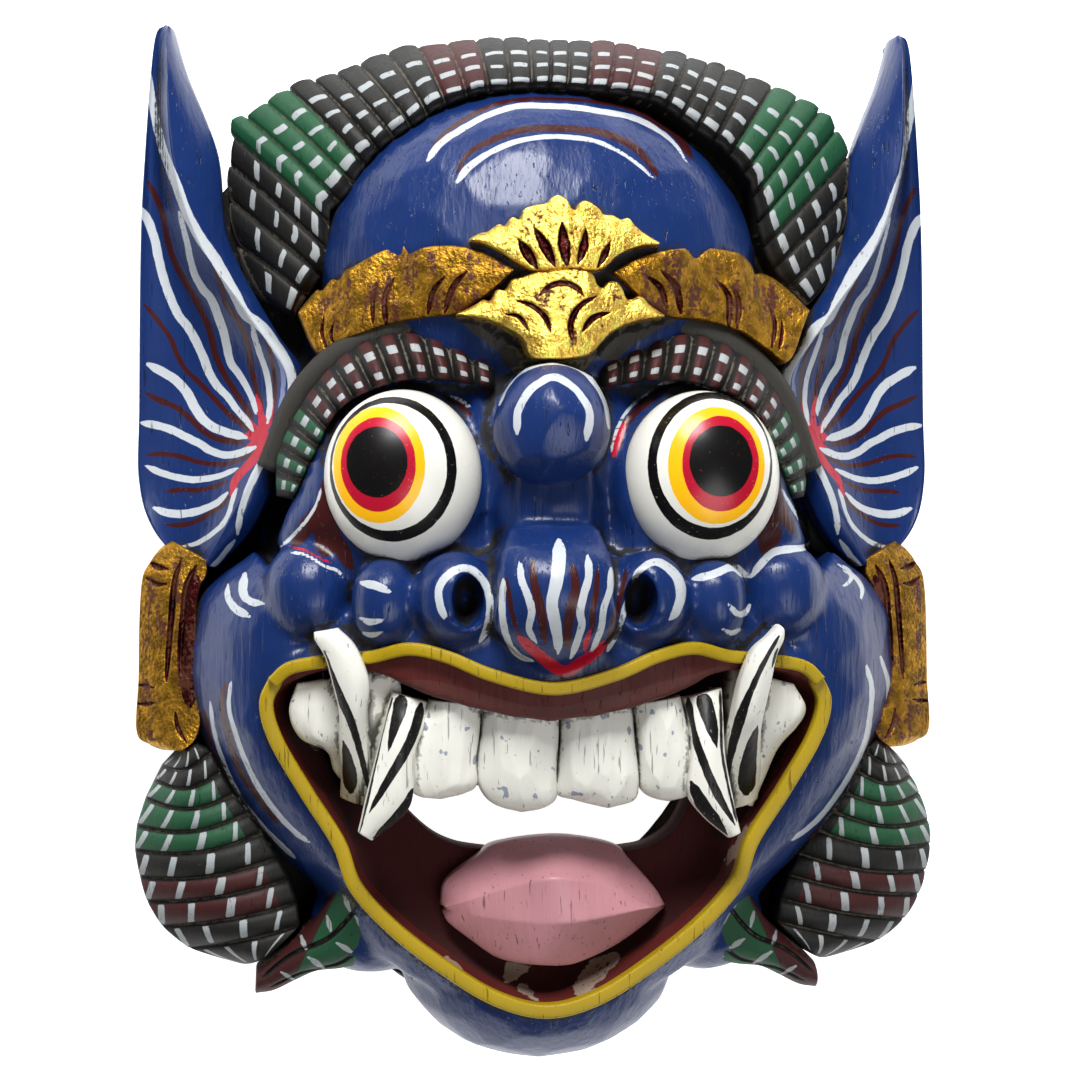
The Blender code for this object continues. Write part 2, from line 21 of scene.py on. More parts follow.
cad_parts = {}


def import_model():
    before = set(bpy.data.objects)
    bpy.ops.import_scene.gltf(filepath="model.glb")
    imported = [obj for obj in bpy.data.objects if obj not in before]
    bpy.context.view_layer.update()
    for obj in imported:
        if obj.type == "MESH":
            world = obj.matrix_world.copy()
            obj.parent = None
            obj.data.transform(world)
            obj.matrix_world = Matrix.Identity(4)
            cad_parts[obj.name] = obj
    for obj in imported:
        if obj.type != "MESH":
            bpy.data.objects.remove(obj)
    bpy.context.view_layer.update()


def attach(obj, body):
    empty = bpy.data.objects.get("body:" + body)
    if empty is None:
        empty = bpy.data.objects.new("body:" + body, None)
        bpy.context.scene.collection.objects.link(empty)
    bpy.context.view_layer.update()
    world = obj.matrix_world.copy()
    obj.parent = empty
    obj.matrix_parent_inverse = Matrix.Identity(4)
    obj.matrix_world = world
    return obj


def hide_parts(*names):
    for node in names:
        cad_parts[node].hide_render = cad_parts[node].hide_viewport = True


log = logging.getLogger("mask")

MM = 0.001
NODE = "mask"
BODY = "root"
SIDES = (-1, 1)
# Lowest part of the bodies that are joined and then cut flat at the back
BELOW = -6.0
Points = Sequence[tuple[float, ...]]
Place = Callable[[np.ndarray, np.ndarray], np.ndarray]


class Slot(Enum):
    """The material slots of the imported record."""

    BLUE = "blue_paint"
    BLACK = "black_paint"
    GREEN = "green_paint"
    MAROON = "maroon_paint"
    WHITE = "white_paint"
    YELLOW = "yellow_paint"
    PINK = "pink_paint"
    GOLD = "gold_leaf"
    WOOD = "bare_wood"


def smoothstep(low: float, high: float, value: np.ndarray) -> np.ndarray:
    """Eases from 0 at low to 1 at high."""
    share = np.clip((value - low) / (high - low), 0, 1)
    return share * share * (3 - 2 * share)


def hill(share: np.ndarray, power: float = 1.0) -> np.ndarray:
    """0 at both ends of 0..1 and 1 in the middle, fuller with a lower power."""
    return np.sin(np.pi * np.clip(share, 1e-6, 1 - 1e-6)) ** power


def lobes(share: np.ndarray, count: int, power: float = 0.5) -> np.ndarray:
    """1 along each of count rounded ridges and 0 in the grooves between them."""
    return hill(np.mod(share * count, 1.0), power)


def ripple(points: np.ndarray, length: float, seed: int) -> np.ndarray:
    """A smooth random field of about -1..1 whose bumps are about length across.

    Args:
        points: The places to read, one row each.
        length: The size of a bump.
        seed: Picks the field.

    Returns:
        One value for each point.
    """
    rng = np.random.default_rng(seed)
    total = np.zeros(len(points))
    for _ in range(9):
        wave = rng.normal(size=3)
        wave *= 2 * np.pi / length / np.linalg.norm(wave) * rng.uniform(0.6, 1.3)
        total += np.sin(points @ wave + rng.uniform(0, 2 * np.pi))
    return total / 4.5


class Path:
    """A smooth curve through a few points, read at a share of its length."""

    def __init__(self, points: Points, dense: int = 24) -> None:
        """Lays the curve.

        Args:
            points: The points that the curve runs through; a missing height is 0.
            dense: How many short lines stand for the curve between two points.
        """
        flat = np.array([tuple(p) + (0.0,) * (3 - len(p)) for p in points], float)
        ends = np.vstack([2 * flat[0] - flat[1], flat, 2 * flat[-1] - flat[-2]])
        step = np.linspace(0, 1, dense, endpoint=False)[:, None]
        spans = []
        for a, b, c, d in zip(ends, ends[1:], ends[2:], ends[3:]):
            slope = step * (c - a) / 2
            bend = step**2 * (2 * a - 5 * b + 4 * c - d) / 2
            twist = step**3 * (3 * b - a - 3 * c + d) / 2
            spans.append(b + slope + bend + twist)
        self.line = np.vstack(spans + [flat[-1:]])
        lengths = np.linalg.norm(np.diff(self.line, axis=0), axis=1)
        self.length = float(lengths.sum())
        self.along = np.concatenate([[0], np.cumsum(lengths)]) / self.length

    def at(self, share: np.ndarray) -> np.ndarray:
        """The points at those shares of the curve's length."""
        share = np.asarray(share, float)
        return np.stack([np.interp(share, self.along, self.line[:, i]) for i in range(3)], -1)


def both_halves(points: Points) -> list[tuple[float, ...]]:
    """A line from its right-hand end to the middle, and on to the left-hand end."""
    return list(points) + [(-p[0], *p[1:]) for p in reversed(points) if p[0] > 0]


def on_side(points: Points, side: int) -> list[tuple[float, ...]]:
    """The points of the right half, or their mirror image where side is -1."""
    return [(side * p[0], *p[1:]) for p in points]


def between(edge_a: Points, edge_b: Points, relief: Callable | None = None) -> Place:
    """A surface for strip(): s runs from edge_a to edge_b, and t along both.

    Args:
        edge_a: The edge where s is 0.
        edge_b: The edge where s is 1.
        relief: Gives the height to add at s and t.

    Returns:
        A function from s and t to points.
    """
    path_a, path_b = Path(edge_a), Path(edge_b)

    def place(s: np.ndarray, t: np.ndarray) -> np.ndarray:
        """The points at s across and t along."""
        points = path_a.at(t) * (1 - s[..., None]) + path_b.at(t) * s[..., None]
        if relief:
            points[..., 2] += relief(s, t)
        return points

    return place


@dataclass(frozen=True)
class Hollow:
    """One of the ellipsoids that are scooped out of the back."""

    centre: tuple[float, float]
    radii: tuple[float, float, float]


HOLLOWS = (Hollow((0, -12), (82, 131, 52)), Hollow((0, 6), (59, 78, 62)))


@dataclass
class Shape:
    """A closed surface as plain arrays, with the values that its paint reads."""

    points: np.ndarray
    faces: list[Sequence[int]]
    values: dict[str, np.ndarray] = field(default_factory=dict)

    def __add__(self, other: "Shape") -> "Shape":
        """Both shapes side by side; values that one of them lacks are 0 there."""
        shift = len(self.points)
        values = {}
        for name in {**self.values, **other.values}:
            mine = self.values.get(name, np.zeros(shift))
            theirs = other.values.get(name, np.zeros(len(other.points)))
            values[name] = np.concatenate([mine, theirs])
        moved = [[index + shift for index in face] for face in other.faces]
        return Shape(np.vstack([self.points, other.points]), list(self.faces) + moved, values)


def underside(points: np.ndarray) -> np.ndarray:
    """How high the wood starts over the hollows of the back, a little above their skin."""
    low = np.full(len(points), 1.5)
    for hollow in HOLLOWS:
        reach = np.sum(((points[:, :2] - hollow.centre) / hollow.radii[:2]) ** 2, axis=1)
        low = np.maximum(low, 5 + hollow.radii[2] * np.sqrt(np.maximum(1 - reach, 0)))
    return low


def strip(
    place: Place,
    steps: tuple[int, int],
    tuck: float = 0.0,
    joined: bool = False,
    thick: float = 200.0,
) -> Shape:
    """A carved strip: a grid face, side walls and an underside that clears the hollows.

    Args:
        place: Gives the face's points from s and t.
        steps: How many cells the face has across and along.
        tuck: How far the walls draw in on their way down.
        joined: True for a strip that is joined with others and cut at the back later.
        thick: How far the walls go down at most.

    Returns:
        The closed shape, with the values s and t, and wall from 0 on its face to 1 at the floor.
    """
    across, along = steps
    s, t = np.meshgrid(np.linspace(0, 1, across + 1), np.linspace(0, 1, along + 1))
    face = place(s, t).reshape(-1, 3)
    wide = across + 1
    index = np.arange(wide * (along + 1)).reshape(along + 1, wide)
    rim = np.concatenate([index[0, :-1], index[:-1, -1], index[-1, :0:-1], index[:0:-1, 0]])
    faces = np.stack([index[:-1, :-1], index[:-1, 1:], index[1:, 1:], index[1:, :-1]], -1)
    faces = [tuple(f) for f in faces.reshape(-1, 4)]
    edge = face[rim]
    run = np.roll(edge, -1, 0) - np.roll(edge, 1, 0)
    out = np.stack([run[:, 1], -run[:, 0], np.zeros(len(run))], 1)
    out /= np.maximum(np.linalg.norm(out, axis=1), 1e-6)[:, None]
    area = np.sum(edge[:, 0] * np.roll(edge[:, 1], -1) - np.roll(edge[:, 0], -1) * edge[:, 1])
    out *= np.sign(area)
    rows = [face]
    last = rim
    levels = (0.08, 0.2, 0.45, 0.75, 1.0) if tuck else (1.0,)
    floor = np.minimum(np.maximum(underside(edge), edge[:, 2] - thick), edge[:, 2] - 2)
    if joined:
        floor = np.full(len(rim), BELOW)
    count = len(face)
    for level in levels:
        row = edge.copy()
        row[:, 2] = edge[:, 2] * (1 - level) + floor * level
        row -= out * tuck * (level**2 - 0.35 * math.sin(math.pi * min(level * 1.6, 1)))
        fresh = count + np.arange(len(rim))
        for j in range(len(rim)):
            k = (j + 1) % len(rim)
            faces.append((last[j], last[k], fresh[k], fresh[j]))
        rows.append(row)
        last = fresh
        count += len(rim)
    faces.append(tuple(last))
    values = {
        "s": np.concatenate([s.ravel()] + [s.ravel()[rim]] * len(levels)),
        "t": np.concatenate([t.ravel()] + [t.ravel()[rim]] * len(levels)),
        "wall": np.concatenate([np.zeros(s.size)] + [np.full(len(rim), v) for v in levels]),
    }
    return Shape(np.vstack(rows), faces, values)


def ball(
    centre: Sequence[float],
    radii: Sequence[float],
    turn: float = 0.0,
    squareness: float = 1.0,
    steps: tuple[int, int] = (32, 20),
) -> Shape:
    """An ellipsoid turned in the mask's plane; a squareness under 1 makes it a block.

    Args:
        centre: Its middle.
        radii: Its half sizes.
        turn: Degrees about Z.
        squareness: The power that its unit shape is raised to.
        steps: Cells around and from pole to pole.

    Returns:
        The closed shape.
    """
    around, down = steps
    angle, fall = np.meshgrid(
        np.linspace(0, 2 * np.pi, around, endpoint=False), np.linspace(0, np.pi, down + 1)[1:-1]
    )
    unit = np.stack([np.cos(angle) * np.sin(fall), np.sin(angle) * np.sin(fall), np.cos(fall)], -1)
    unit = np.vstack([unit.reshape(-1, 3), [[0, 0, 1], [0, 0, -1]]])
    unit = np.sign(unit) * np.abs(unit) ** squareness * np.array(radii)
    spin = np.array(Matrix.Rotation(math.radians(turn), 3, "Z"))
    points = unit @ spin.T + np.array(centre)
    index = np.arange(around * (down - 1)).reshape(down - 1, around)
    after = np.roll(index, -1, 1)
    faces = np.stack([index[:-1], index[1:], after[1:], after[:-1]], -1).reshape(-1, 4)
    faces = [tuple(f) for f in faces]
    top, low = len(points) - 2, len(points) - 1
    faces += [(top, index[0, j], after[0, j]) for j in range(around)]
    faces += [(low, after[-1, j], index[-1, j]) for j in range(around)]
    return Shape(points, faces)


def horn(
    points: Points,
    radii: Sequence[float],
    steps: int = 40,
    sides: int = 20,
    stretch: float = 1.0,
    squareness: float = 1.0,
) -> Shape:
    """A round bar of changing radius along a smooth path, stretched along Z about it.

    Args:
        points: The path.
        radii: Its radius at even steps along it.
        steps: Rings along the bar.
        sides: Corners of a ring.
        stretch: How much taller than wide a ring is.
        squareness: The power that a ring's unit shape is raised to.

    Returns:
        The closed shape, with the values s around the bar and t along it.
    """
    path = Path(points)
    share = np.linspace(0, 1, steps + 1)
    centres = path.at(share)
    width = np.interp(share, np.linspace(0, 1, len(radii)), radii)
    ahead = path.at(np.minimum(share + 0.02, 1)) - path.at(np.maximum(share - 0.02, 0))
    ahead /= np.linalg.norm(ahead, axis=1)[:, None]
    side = np.cross(ahead, [0, 0, 1])
    side /= np.maximum(np.linalg.norm(side, axis=1), 1e-6)[:, None]
    up = np.cross(side, ahead)
    angle = 2 * np.pi * np.arange(sides) / sides
    cosine = np.sign(np.cos(angle)) * np.abs(np.cos(angle)) ** squareness
    sine = np.sign(np.sin(angle)) * np.abs(np.sin(angle)) ** squareness
    ring = cosine[None, :, None] * side[:, None] + sine[None, :, None] * up[:, None]
    body = ring * width[:, None, None]
    body[..., 2] *= stretch
    body = (body + centres[:, None]).reshape(-1, 3)
    index = np.arange(sides * (steps + 1)).reshape(steps + 1, sides)
    after = np.roll(index, -1, 1)
    faces = np.stack([index[:-1], after[:-1], after[1:], index[1:]], -1).reshape(-1, 4)
    faces = [tuple(f) for f in faces] + [tuple(index[0]), tuple(index[-1])]
    values = {"s": np.tile(angle / 2 / np.pi, steps + 1), "t": np.repeat(share, sides)}
    return Shape(body, faces, values)


def prism(outline: Points, low: float, high: float, narrowing: float = 1.0) -> Shape:
    """An upright body with a smooth outline, narrower at its low end.

    Args:
        outline: Its corners, which a smooth closed curve joins.
        low: Its lowest height.
        high: Its highest height.
        narrowing: How wide the low end is against the high one.

    Returns:
        The closed shape.
    """
    count = 160
    ring = Path(list(outline) + [outline[0]]).at(np.arange(count) / count)
    middle = ring.mean(0)
    levels = [(low, narrowing), (high, 1.0)]
    if narrowing < 1:
        soften = (high - low) * 0.35
        levels = [(low + soften * (1 - math.cos(a)), narrowing + (1 - narrowing) * math.sin(a))
                  for a in np.linspace(0, math.pi / 2, 7)] + [(high, 1.0)]
    rows = []
    for height, wide in levels:
        row = middle + (ring - middle) * wide
        row[:, 2] = height
        rows.append(row)
    faces = []
    for level in range(len(levels) - 1):
        for j in range(count):
            k = (j + 1) % count
            low_j, low_k = level * count + j, level * count + k
            faces.append((low_j, low_k, low_k + count, low_j + count))
    faces += [tuple(range(count)), tuple((len(levels) - 1) * count + j for j in range(count))]
    return Shape(np.vstack(rows), faces)


class Photo:
    """Where the photograph's camera stood, and how the carving falls on its pixels."""

    place = Vector((-90.0, 0.0, 1150.0))
    aim = Vector((3.8, 0.0, 0.0))
    size = 1080
    reach = 3024.0

    @classmethod
    def axes(cls) -> Matrix:
        """The camera's own axes: right, up and back."""
        back = (cls.place - cls.aim).normalized()
        right = Vector((0, 1, 0)).cross(back).normalized()
        return Matrix((right, back.cross(right), back)).transposed()

    @classmethod
    def pixels(cls, points: np.ndarray) -> np.ndarray:
        """The pixels that the points fall on, in the photograph's 1080 x 1080 frame."""
        local = (points - np.array(cls.place)) @ np.array(cls.axes())
        scale = cls.reach / -local[:, 2]
        half = cls.size / 2
        return np.stack([half + local[:, 0] * scale, half - local[:, 1] * scale], 1)


# Millimetres on the carving that a pixel of the photograph spans
PIXEL = 0.36


@dataclass(frozen=True)
class Stroke:
    """A brush stroke: the pixels that it runs through, and its width at even steps along."""

    points: Points
    width: tuple[float, ...]

    def cover(self, pixels: np.ndarray) -> np.ndarray:
        """How deep inside the stroke each pixel lies, in millimetres; negative outside."""
        path = Path(self.points)
        count = max(int(path.length / 3), 4)
        share = np.linspace(0, 1, count + 1)
        line = path.at(share)[:, :2]
        half = np.interp(share, np.linspace(0, 1, len(self.width)), self.width) / 2
        ends = np.minimum(share, 1 - share) * path.length
        half = half * (0.45 + 0.55 * smoothstep(0, 9, ends))
        best = np.full(len(pixels), -1e3)
        low, high = line.min(0) - 20, line.max(0) + 20
        near = np.where(np.all((pixels > low) & (pixels < high), axis=1))[0]
        spots = pixels[near]
        depth = np.full(len(near), -20.0)
        for a, b, wide_a, wide_b in zip(line, line[1:], half, half[1:]):
            run = b - a
            along = np.clip((spots - a) @ run / max(run @ run, 1e-9), 0, 1)
            gap = np.linalg.norm(spots - a - along[:, None] * run, axis=1)
            depth = np.maximum(depth, wide_a + (wide_b - wide_a) * along - gap)
        best[near] = depth
        return np.maximum(best, -20) * PIXEL


@dataclass(frozen=True)
class Oval:
    """A painted ellipse: its middle, half sizes in pixels, and its ring width if it is open."""

    centre: tuple[float, float]
    radii: tuple[float, float]
    hole: tuple[float, float] | None = None
    hole_radii: tuple[float, float] | None = None

    @staticmethod
    def depth(pixels: np.ndarray, centre: tuple, radii: tuple) -> np.ndarray:
        """How deep inside the ellipse each pixel lies, in pixels."""
        ratio = np.linalg.norm((pixels - np.array(centre)) / np.array(radii), axis=1)
        return (1 - ratio) * sum(radii) / 2

    def cover(self, pixels: np.ndarray) -> np.ndarray:
        """How deep inside the painted area each pixel lies, in millimetres."""
        depth = self.depth(pixels, self.centre, self.radii)
        if self.hole:
            depth = np.minimum(depth, -self.depth(pixels, self.hole, self.hole_radii))
        return np.clip(depth, -20, 20) * PIXEL


def paint(shape: Shape, name: str, marks: Sequence, mirrored: bool = False) -> None:
    """Stores on the shape how deep each point lies inside any of the marks.

    Args:
        shape: What is painted.
        name: The value's name.
        marks: Strokes and ovals.
        mirrored: True to lay the mirror image of the marks.
    """
    flip = np.array([-1, 1, 1]) if mirrored else np.ones(3)
    pixels = Photo.pixels(shape.points * flip)
    depth = np.full(len(pixels), -7.0)
    for mark in marks:
        depth = np.maximum(depth, mark.cover(pixels))
    depth = np.maximum(depth - 40 * shape.values.get("wall", np.zeros(len(depth))), -7)
    shape.values[name] = np.maximum(shape.values.get(name, depth), depth)


def to_mesh(shape: Shape, name: str) -> bpy.types.Mesh:
    """A mesh in metres with the shape's values as attributes and its faces turned outward."""
    mesh = bpy.data.meshes.new(name)
    mesh.from_pydata((shape.points * MM).tolist(), [], [list(f) for f in shape.faces])
    bm = bmesh.new()
    bm.from_mesh(mesh)
    bmesh.ops.recalc_face_normals(bm, faces=bm.faces)
    bm.to_mesh(mesh)
    bm.free()
    for key, values in shape.values.items():
        layer = mesh.attributes.new(key, "FLOAT", "POINT")
        layer.data.foreach_set("value", values.astype(np.float32))
    mesh.validate()
    mesh.update()
    return mesh


def link(name: str, mesh: bpy.types.Mesh) -> bpy.types.Object:
    """An object for the mesh in the scene's own collection."""
    obj = bpy.data.objects.new(name, mesh)
    bpy.context.scene.collection.objects.link(obj)
    return obj


def settle(obj: bpy.types.Object) -> bpy.types.Mesh:
    """Replaces the object's mesh by what its modifiers make of it."""
    graph = bpy.context.evaluated_depsgraph_get()
    mesh = bpy.data.meshes.new_from_object(obj.evaluated_get(graph))
    obj.modifiers.clear()
    obj.data = mesh
    return mesh


def from_mesh(mesh: bpy.types.Mesh) -> Shape:
    """The mesh's points in millimetres and its faces."""
    points = np.empty(len(mesh.vertices) * 3)
    mesh.vertices.foreach_get("co", points)
    return Shape(points.reshape(-1, 3) / MM, [tuple(p.vertices) for p in mesh.polygons])


def normals_of(mesh: bpy.types.Mesh) -> np.ndarray:
    """The normal at each vertex."""
    normals = np.empty(len(mesh.vertices) * 3)
    mesh.vertices.foreach_get("normal", normals)
    return normals.reshape(-1, 3)


def gouged(points: np.ndarray, normals: np.ndarray, size: float, depth: float, seed: int):
    """Moves the points onto the shallow facets that a gouge leaves.

    Args:
        points: The points of a surface.
        normals: Its normals there.
        size: How far apart the cuts are.
        depth: How much deeper a cut is than the ridges around it.
        seed: Picks where the cuts lie.

    Returns:
        The moved points.
    """
    rng = np.random.default_rng(seed)
    table = rng.uniform(-0.42, 0.42, (4096, 3))
    cell = np.floor(points / size).astype(int)
    nearest = np.full(len(points), 9.0)
    for step in np.ndindex(3, 3, 3):
        home = cell + np.array(step) - 1
        pick = (home @ np.array([73856093, 19349663, 83492791])) % 4096
        gap = points / size - home - 0.5 - table[pick]
        nearest = np.minimum(nearest, np.einsum("ij,ij->i", gap, gap))
    return points + normals * (depth * (np.minimum(nearest, 0.8) - 0.35))[:, None]


# Outlines in pixels and millimetres that several forms share
MOUTH_LINE = [
    (97, -50, 80), (91, -45, 82), (78, -42.5, 85), (63.5, -41, 90), (50, -38, 96),
    (37, -40.5, 100), (21, -47, 103), (0, -51.5, 105),
]
JAW_LINE = [
    (96, -49, 78), (99.5, -58, 77), (96, -71, 76), (85, -90, 75), (74, -107.5, 74),
    (68, -123, 74), (55, -137.5, 75), (37, -151.5, 76), (18, -163, 77), (0, -167.5, 77),
]
OPENING = [
    (0, -63.5), (20, -60.5), (42, -54.5), (58, -47.5), (75, -45.8), (88, -48.5), (95, -52),
    (98, -59), (94.8, -71), (83.8, -89.5), (72.8, -106.8), (66.8, -122), (54, -136.5),
    (36.4, -150.3), (17.7, -161.8), (0, -166.3),
]
BACKING = [
    (0, 178), (60, 170), (94, 156), (108, 138), (120, 124), (134, 100), (138, 20), (126, -8),
    (136, -30), (137, -60), (128, -78), (138, -98), (136, -124), (120, -146), (98, -154),
    (72, -152), (42, -166), (24, -177), (0, -182),
]
MOUTH_FLOOR = 50.0
# The gap in the mouth's floor, in pixels
GAP = [
    (400, 796), (407, 811), (432, 834), (455, 845), (480, 849), (510, 851), (558, 852), (600, 851),
    (629, 850), (651, 846), (673, 831), (687, 808), (690, 794), (640, 786), (545, 784), (450, 787),
]


def closed(half: Points) -> list[tuple[float, ...]]:
    """A whole outline from its right half, which starts and ends on the middle line."""
    return list(half) + [(-p[0], *p[1:]) for p in reversed(half[1:-1])]


@dataclass
class Solid:
    """Bodies that are joined, cut and smoothed into one skin."""

    forms: list[Shape] = field(default_factory=list)
    cuts: list[Shape] = field(default_factory=list)
    hollows: list[Shape] = field(default_factory=list)

    def skin(self, name: str, voxel: float, rounds: int) -> bpy.types.Object:
        """Joins the forms, takes the cuts away and smooths the edges that are left.

        Args:
            name: The object's name.
            voxel: The size of the skin's cells in millimetres.
            rounds: How often the skin is smoothed.

        Returns:
            The finished object, in metres.
        """
        whole = sum(self.forms[1:], self.forms[0])
        obj = link(name, to_mesh(Shape(whole.points, whole.faces), name))
        self._remesh(obj, voxel)
        for index, cut in enumerate(self.cuts):
            self._take_away(obj, cut, f"{name}_cut_{index}")
        self._remesh(obj, voxel)
        smooth = obj.modifiers.new("Soften", "SMOOTH")
        smooth.iterations = rounds
        smooth.factor = 0.5
        settle(obj)
        return obj

    def hollow(self, obj: bpy.types.Object) -> None:
        """Cuts the back flat and takes the hollows out of it."""
        for index, cut in enumerate(self.hollows):
            self._take_away(obj, cut, f"{obj.name}_hollow_{index}")

    @staticmethod
    def _remesh(obj: bpy.types.Object, voxel: float) -> None:
        """Gives the object one even skin."""
        remesh = obj.modifiers.new("Skin", "REMESH")
        remesh.mode = "VOXEL"
        remesh.voxel_size = voxel * MM
        remesh.use_smooth_shade = True
        settle(obj)

    @staticmethod
    def _take_away(obj: bpy.types.Object, cut: Shape, name: str) -> None:
        """Takes one body away from the object."""
        tool = link(name, to_mesh(Shape(cut.points, cut.faces), name))
        boolean = obj.modifiers.new("Cut", "BOOLEAN")
        boolean.operation = "DIFFERENCE"
        boolean.solver = "MANIFOLD"
        boolean.object = tool
        settle(obj)
        bpy.data.objects.remove(tool)


def hollowed(shape: Shape) -> Shape:
    """The shape with the hollows of the back taken out of it."""
    obj = link("hollowed", to_mesh(shape, "hollowed"))
    Solid(hollows=[ball((*h.centre, 0), h.radii, steps=(72, 40)) for h in HOLLOWS]).hollow(obj)
    result = from_mesh(obj.data)
    bpy.data.objects.remove(obj)
    return result


@dataclass
class Piece:
    """One part of the carving that is shown: its name, shape and finish."""

    name: str
    shape: Shape
    finish: str
    slot: Slot


def spot(across: float, down: float, height: float) -> tuple[float, float, float]:
    """The place at that height, in millimetres, that the photograph shows at that pixel."""
    half = Photo.size / 2
    sight = Photo.axes() @ Vector(((across - half) / Photo.reach, (half - down) / Photo.reach, -1))
    point = Photo.place + sight * ((height - Photo.place.z) / sight.z)
    return tuple(point)


def traced(pixels: Points, *heights: float) -> list[tuple[float, float, float]]:
    """The places that the photograph shows at those pixels, at heights even steps apart."""
    share = np.linspace(0, 1, len(pixels))
    levels = np.interp(share, np.linspace(0, 1, len(heights)), heights)
    return [spot(*pixel, level) for pixel, level in zip(pixels, levels)]


def mirror(shape: Shape) -> Shape:
    """The shape's mirror image."""
    values = {name: depth.copy() for name, depth in shape.values.items()}
    return Shape(shape.points * np.array([-1, 1, 1]), shape.faces, values)


def engrave(shape: Shape, name: str, marks: Sequence, depth: float, soft: float = 1.2) -> None:
    """Cuts the marks into the shape and stores where they lie.

    Args:
        shape: What is cut.
        name: The value that says where the cuts are.
        marks: Strokes.
        depth: How deep the cuts are.
        soft: How far a cut takes to reach its depth.
    """
    paint(shape, name, marks)
    shape.points[:, 2] -= depth * smoothstep(-0.3, soft, shape.values[name])


def clipped(shape: Shape, low: float = BELOW) -> Shape:
    """The shape with everything under low pressed flat."""
    shape.points[:, 2] = np.maximum(shape.points[:, 2], low)
    return shape


@dataclass
class Face:
    """The blue face with its forehead, nose, cheeks, jaw and the maroon mouth inside."""

    voxel: float = 1.56
    solid: Solid = field(default_factory=Solid)

    def build(self) -> list[Piece]:
        """The face as one piece."""
        self._skull()
        self._eyelids()
        self._nose()
        self._cheeks()
        self._lips()
        self._cuts()
        obj = self.solid.skin("face", self.voxel, rounds=3)
        self._carve(obj.data)
        self.solid.hollow(obj)
        shape = from_mesh(obj.data)
        bpy.data.objects.remove(obj)
        self._paint(shape)
        return [Piece("face", shape, "blue", Slot.BLUE)]

    def _add(self, *shapes: Shape) -> None:
        """Joins more bodies to the face."""
        self.solid.forms += [clipped(shape) for shape in shapes]

    def _skull(self) -> None:
        """The forehead, bridge and chin."""
        self._add(
            ball((0, -15, 0), (112, 168, 62), steps=(96, 64)),
            ball((0, 98, 38), (80, 68, 50), steps=(96, 64)),
            ball((0, 26, 56), (46, 46, 32), steps=(64, 40)),
            ball((0, 8, 80), (20, 26, 20), steps=(48, 32)),
            ball((1, 9, 80), (15, 22, 20), squareness=0.4, steps=(64, 40)),
            ball((0, -150, 36), (51, 40, 42), steps=(64, 48)),
        )
        for side in SIDES:
            self._add(
                ball((side * 45, -5, 62), (45, 25, 26), steps=(64, 40)),
                ball((side * 84.5, -18.5, 70), (16.5, 19, 18), steps=(48, 32)),
                ball((side * 58, -22, 90), (12, 15.5, 13), steps=(48, 32)),
                ball((side * 62, -140, 36), (22, 19, 22), steps=(48, 32)),
            )

    def _eyelids(self) -> None:
        """The almond-shaped sockets."""
        upper = [(20, 20, 78), (30, 45, 76), (53, 57, 74), (77, 44, 72), (90, 14, 68), (96, -2, 64)]
        lower = [(20, 20, 78), (27, 0, 82), (52, -10, 84), (72, -3, 78), (86, -2, 72), (96, -2, 64)]
        for side in SIDES:
            self._add(strip(
                between(on_side(lower, side), on_side(upper, side),
                        lambda s, t: 12 * hill(s, 0.6) * hill(t, 0.6)),
                (32, 64), joined=True,
            ))

    def _nose(self) -> None:
        """The broad nose and its flared wings."""
        right = [(15, 5, 104), (19, -5, 116), (20, -18, 120), (21, -30, 116), (12, -40, 108), (2, -46, 102)]
        self._add(strip(
            between(on_side(right, -1), right, lambda s, t: 7 * hill(s, 0.7) * hill(t, 0.4)), (36, 40),
            joined=True,
        ))
        for side in SIDES:
            self._add(ball((side * 33.5, -20.5, 97), (15, 17, 15), steps=(48, 32)))

    def _cheeks(self) -> None:
        """The folds that run from the cheeks round the mouth to the jaw."""
        outer = [
            (102, -4, 52), (121, -20, 40), (127, -40, 36), (126, -58, 36), (116, -85, 36),
            (100, -109, 36), (80, -127, 38), (66, -141, 42),
        ]
        inner = [
            (84, -26, 70), (84, -44, 74), (84, -58, 72), (82, -70, 70), (72, -90, 69),
            (62, -105, 68), (56, -118, 69), (46, -130, 71),
        ]
        for side, wider in ((-1, 2), (1, 6)):
            edge = [(x + wider, y, z) for x, y, z in outer]
            self._add(strip(
                between(on_side(edge, side), on_side(inner, side),
                        lambda s, t: 19 * hill(s, 0.7) * (0.7 + 0.3 * hill(t, 0.5))),
                (48, 80), joined=True,
            ))

    def _lips(self) -> None:
        """The muzzle, the upper lip, the edge of the lower jaw and the palate."""
        muzzle = [(94, -34, 66), (70, -26, 82), (46, -18, 90), (24, -6, 96), (0, 2, 98)]
        lip_low = [
            (92, -58, 76), (86, -52, 80), (75, -48, 85), (58, -51, 91), (42, -58, 95),
            (20, -65, 98), (0, -68, 98),
        ]
        lip_high = [(x, y + 3, z - 2) for x, y, z in MOUTH_LINE]
        jaw_low = [
            (88, -100, 60), (78, -122, 54), (66, -144, 56), (44, -160, 60), (20, -172, 62), (0, -175, 62),
        ]
        jaw_high = [
            (66, -88, 77), (57, -102, 76), (50, -113, 76), (40, -124, 77), (26, -134, 78), (0, -147, 79),
        ]
        self._add(
            strip(between(both_halves(MOUTH_LINE), both_halves(muzzle)), (24, 120), joined=True),
            strip(between(both_halves(lip_low), both_halves(lip_high), lambda s, t: 2 * hill(s, 0.6)),
                  (16, 120), joined=True),
            strip(between(both_halves(jaw_low), both_halves(jaw_high), lambda s, t: 7 * hill(s)),
                  (24, 120), joined=True),
            ball((0, -112, 20), (84, 56, 44), steps=(96, 48)),
        )

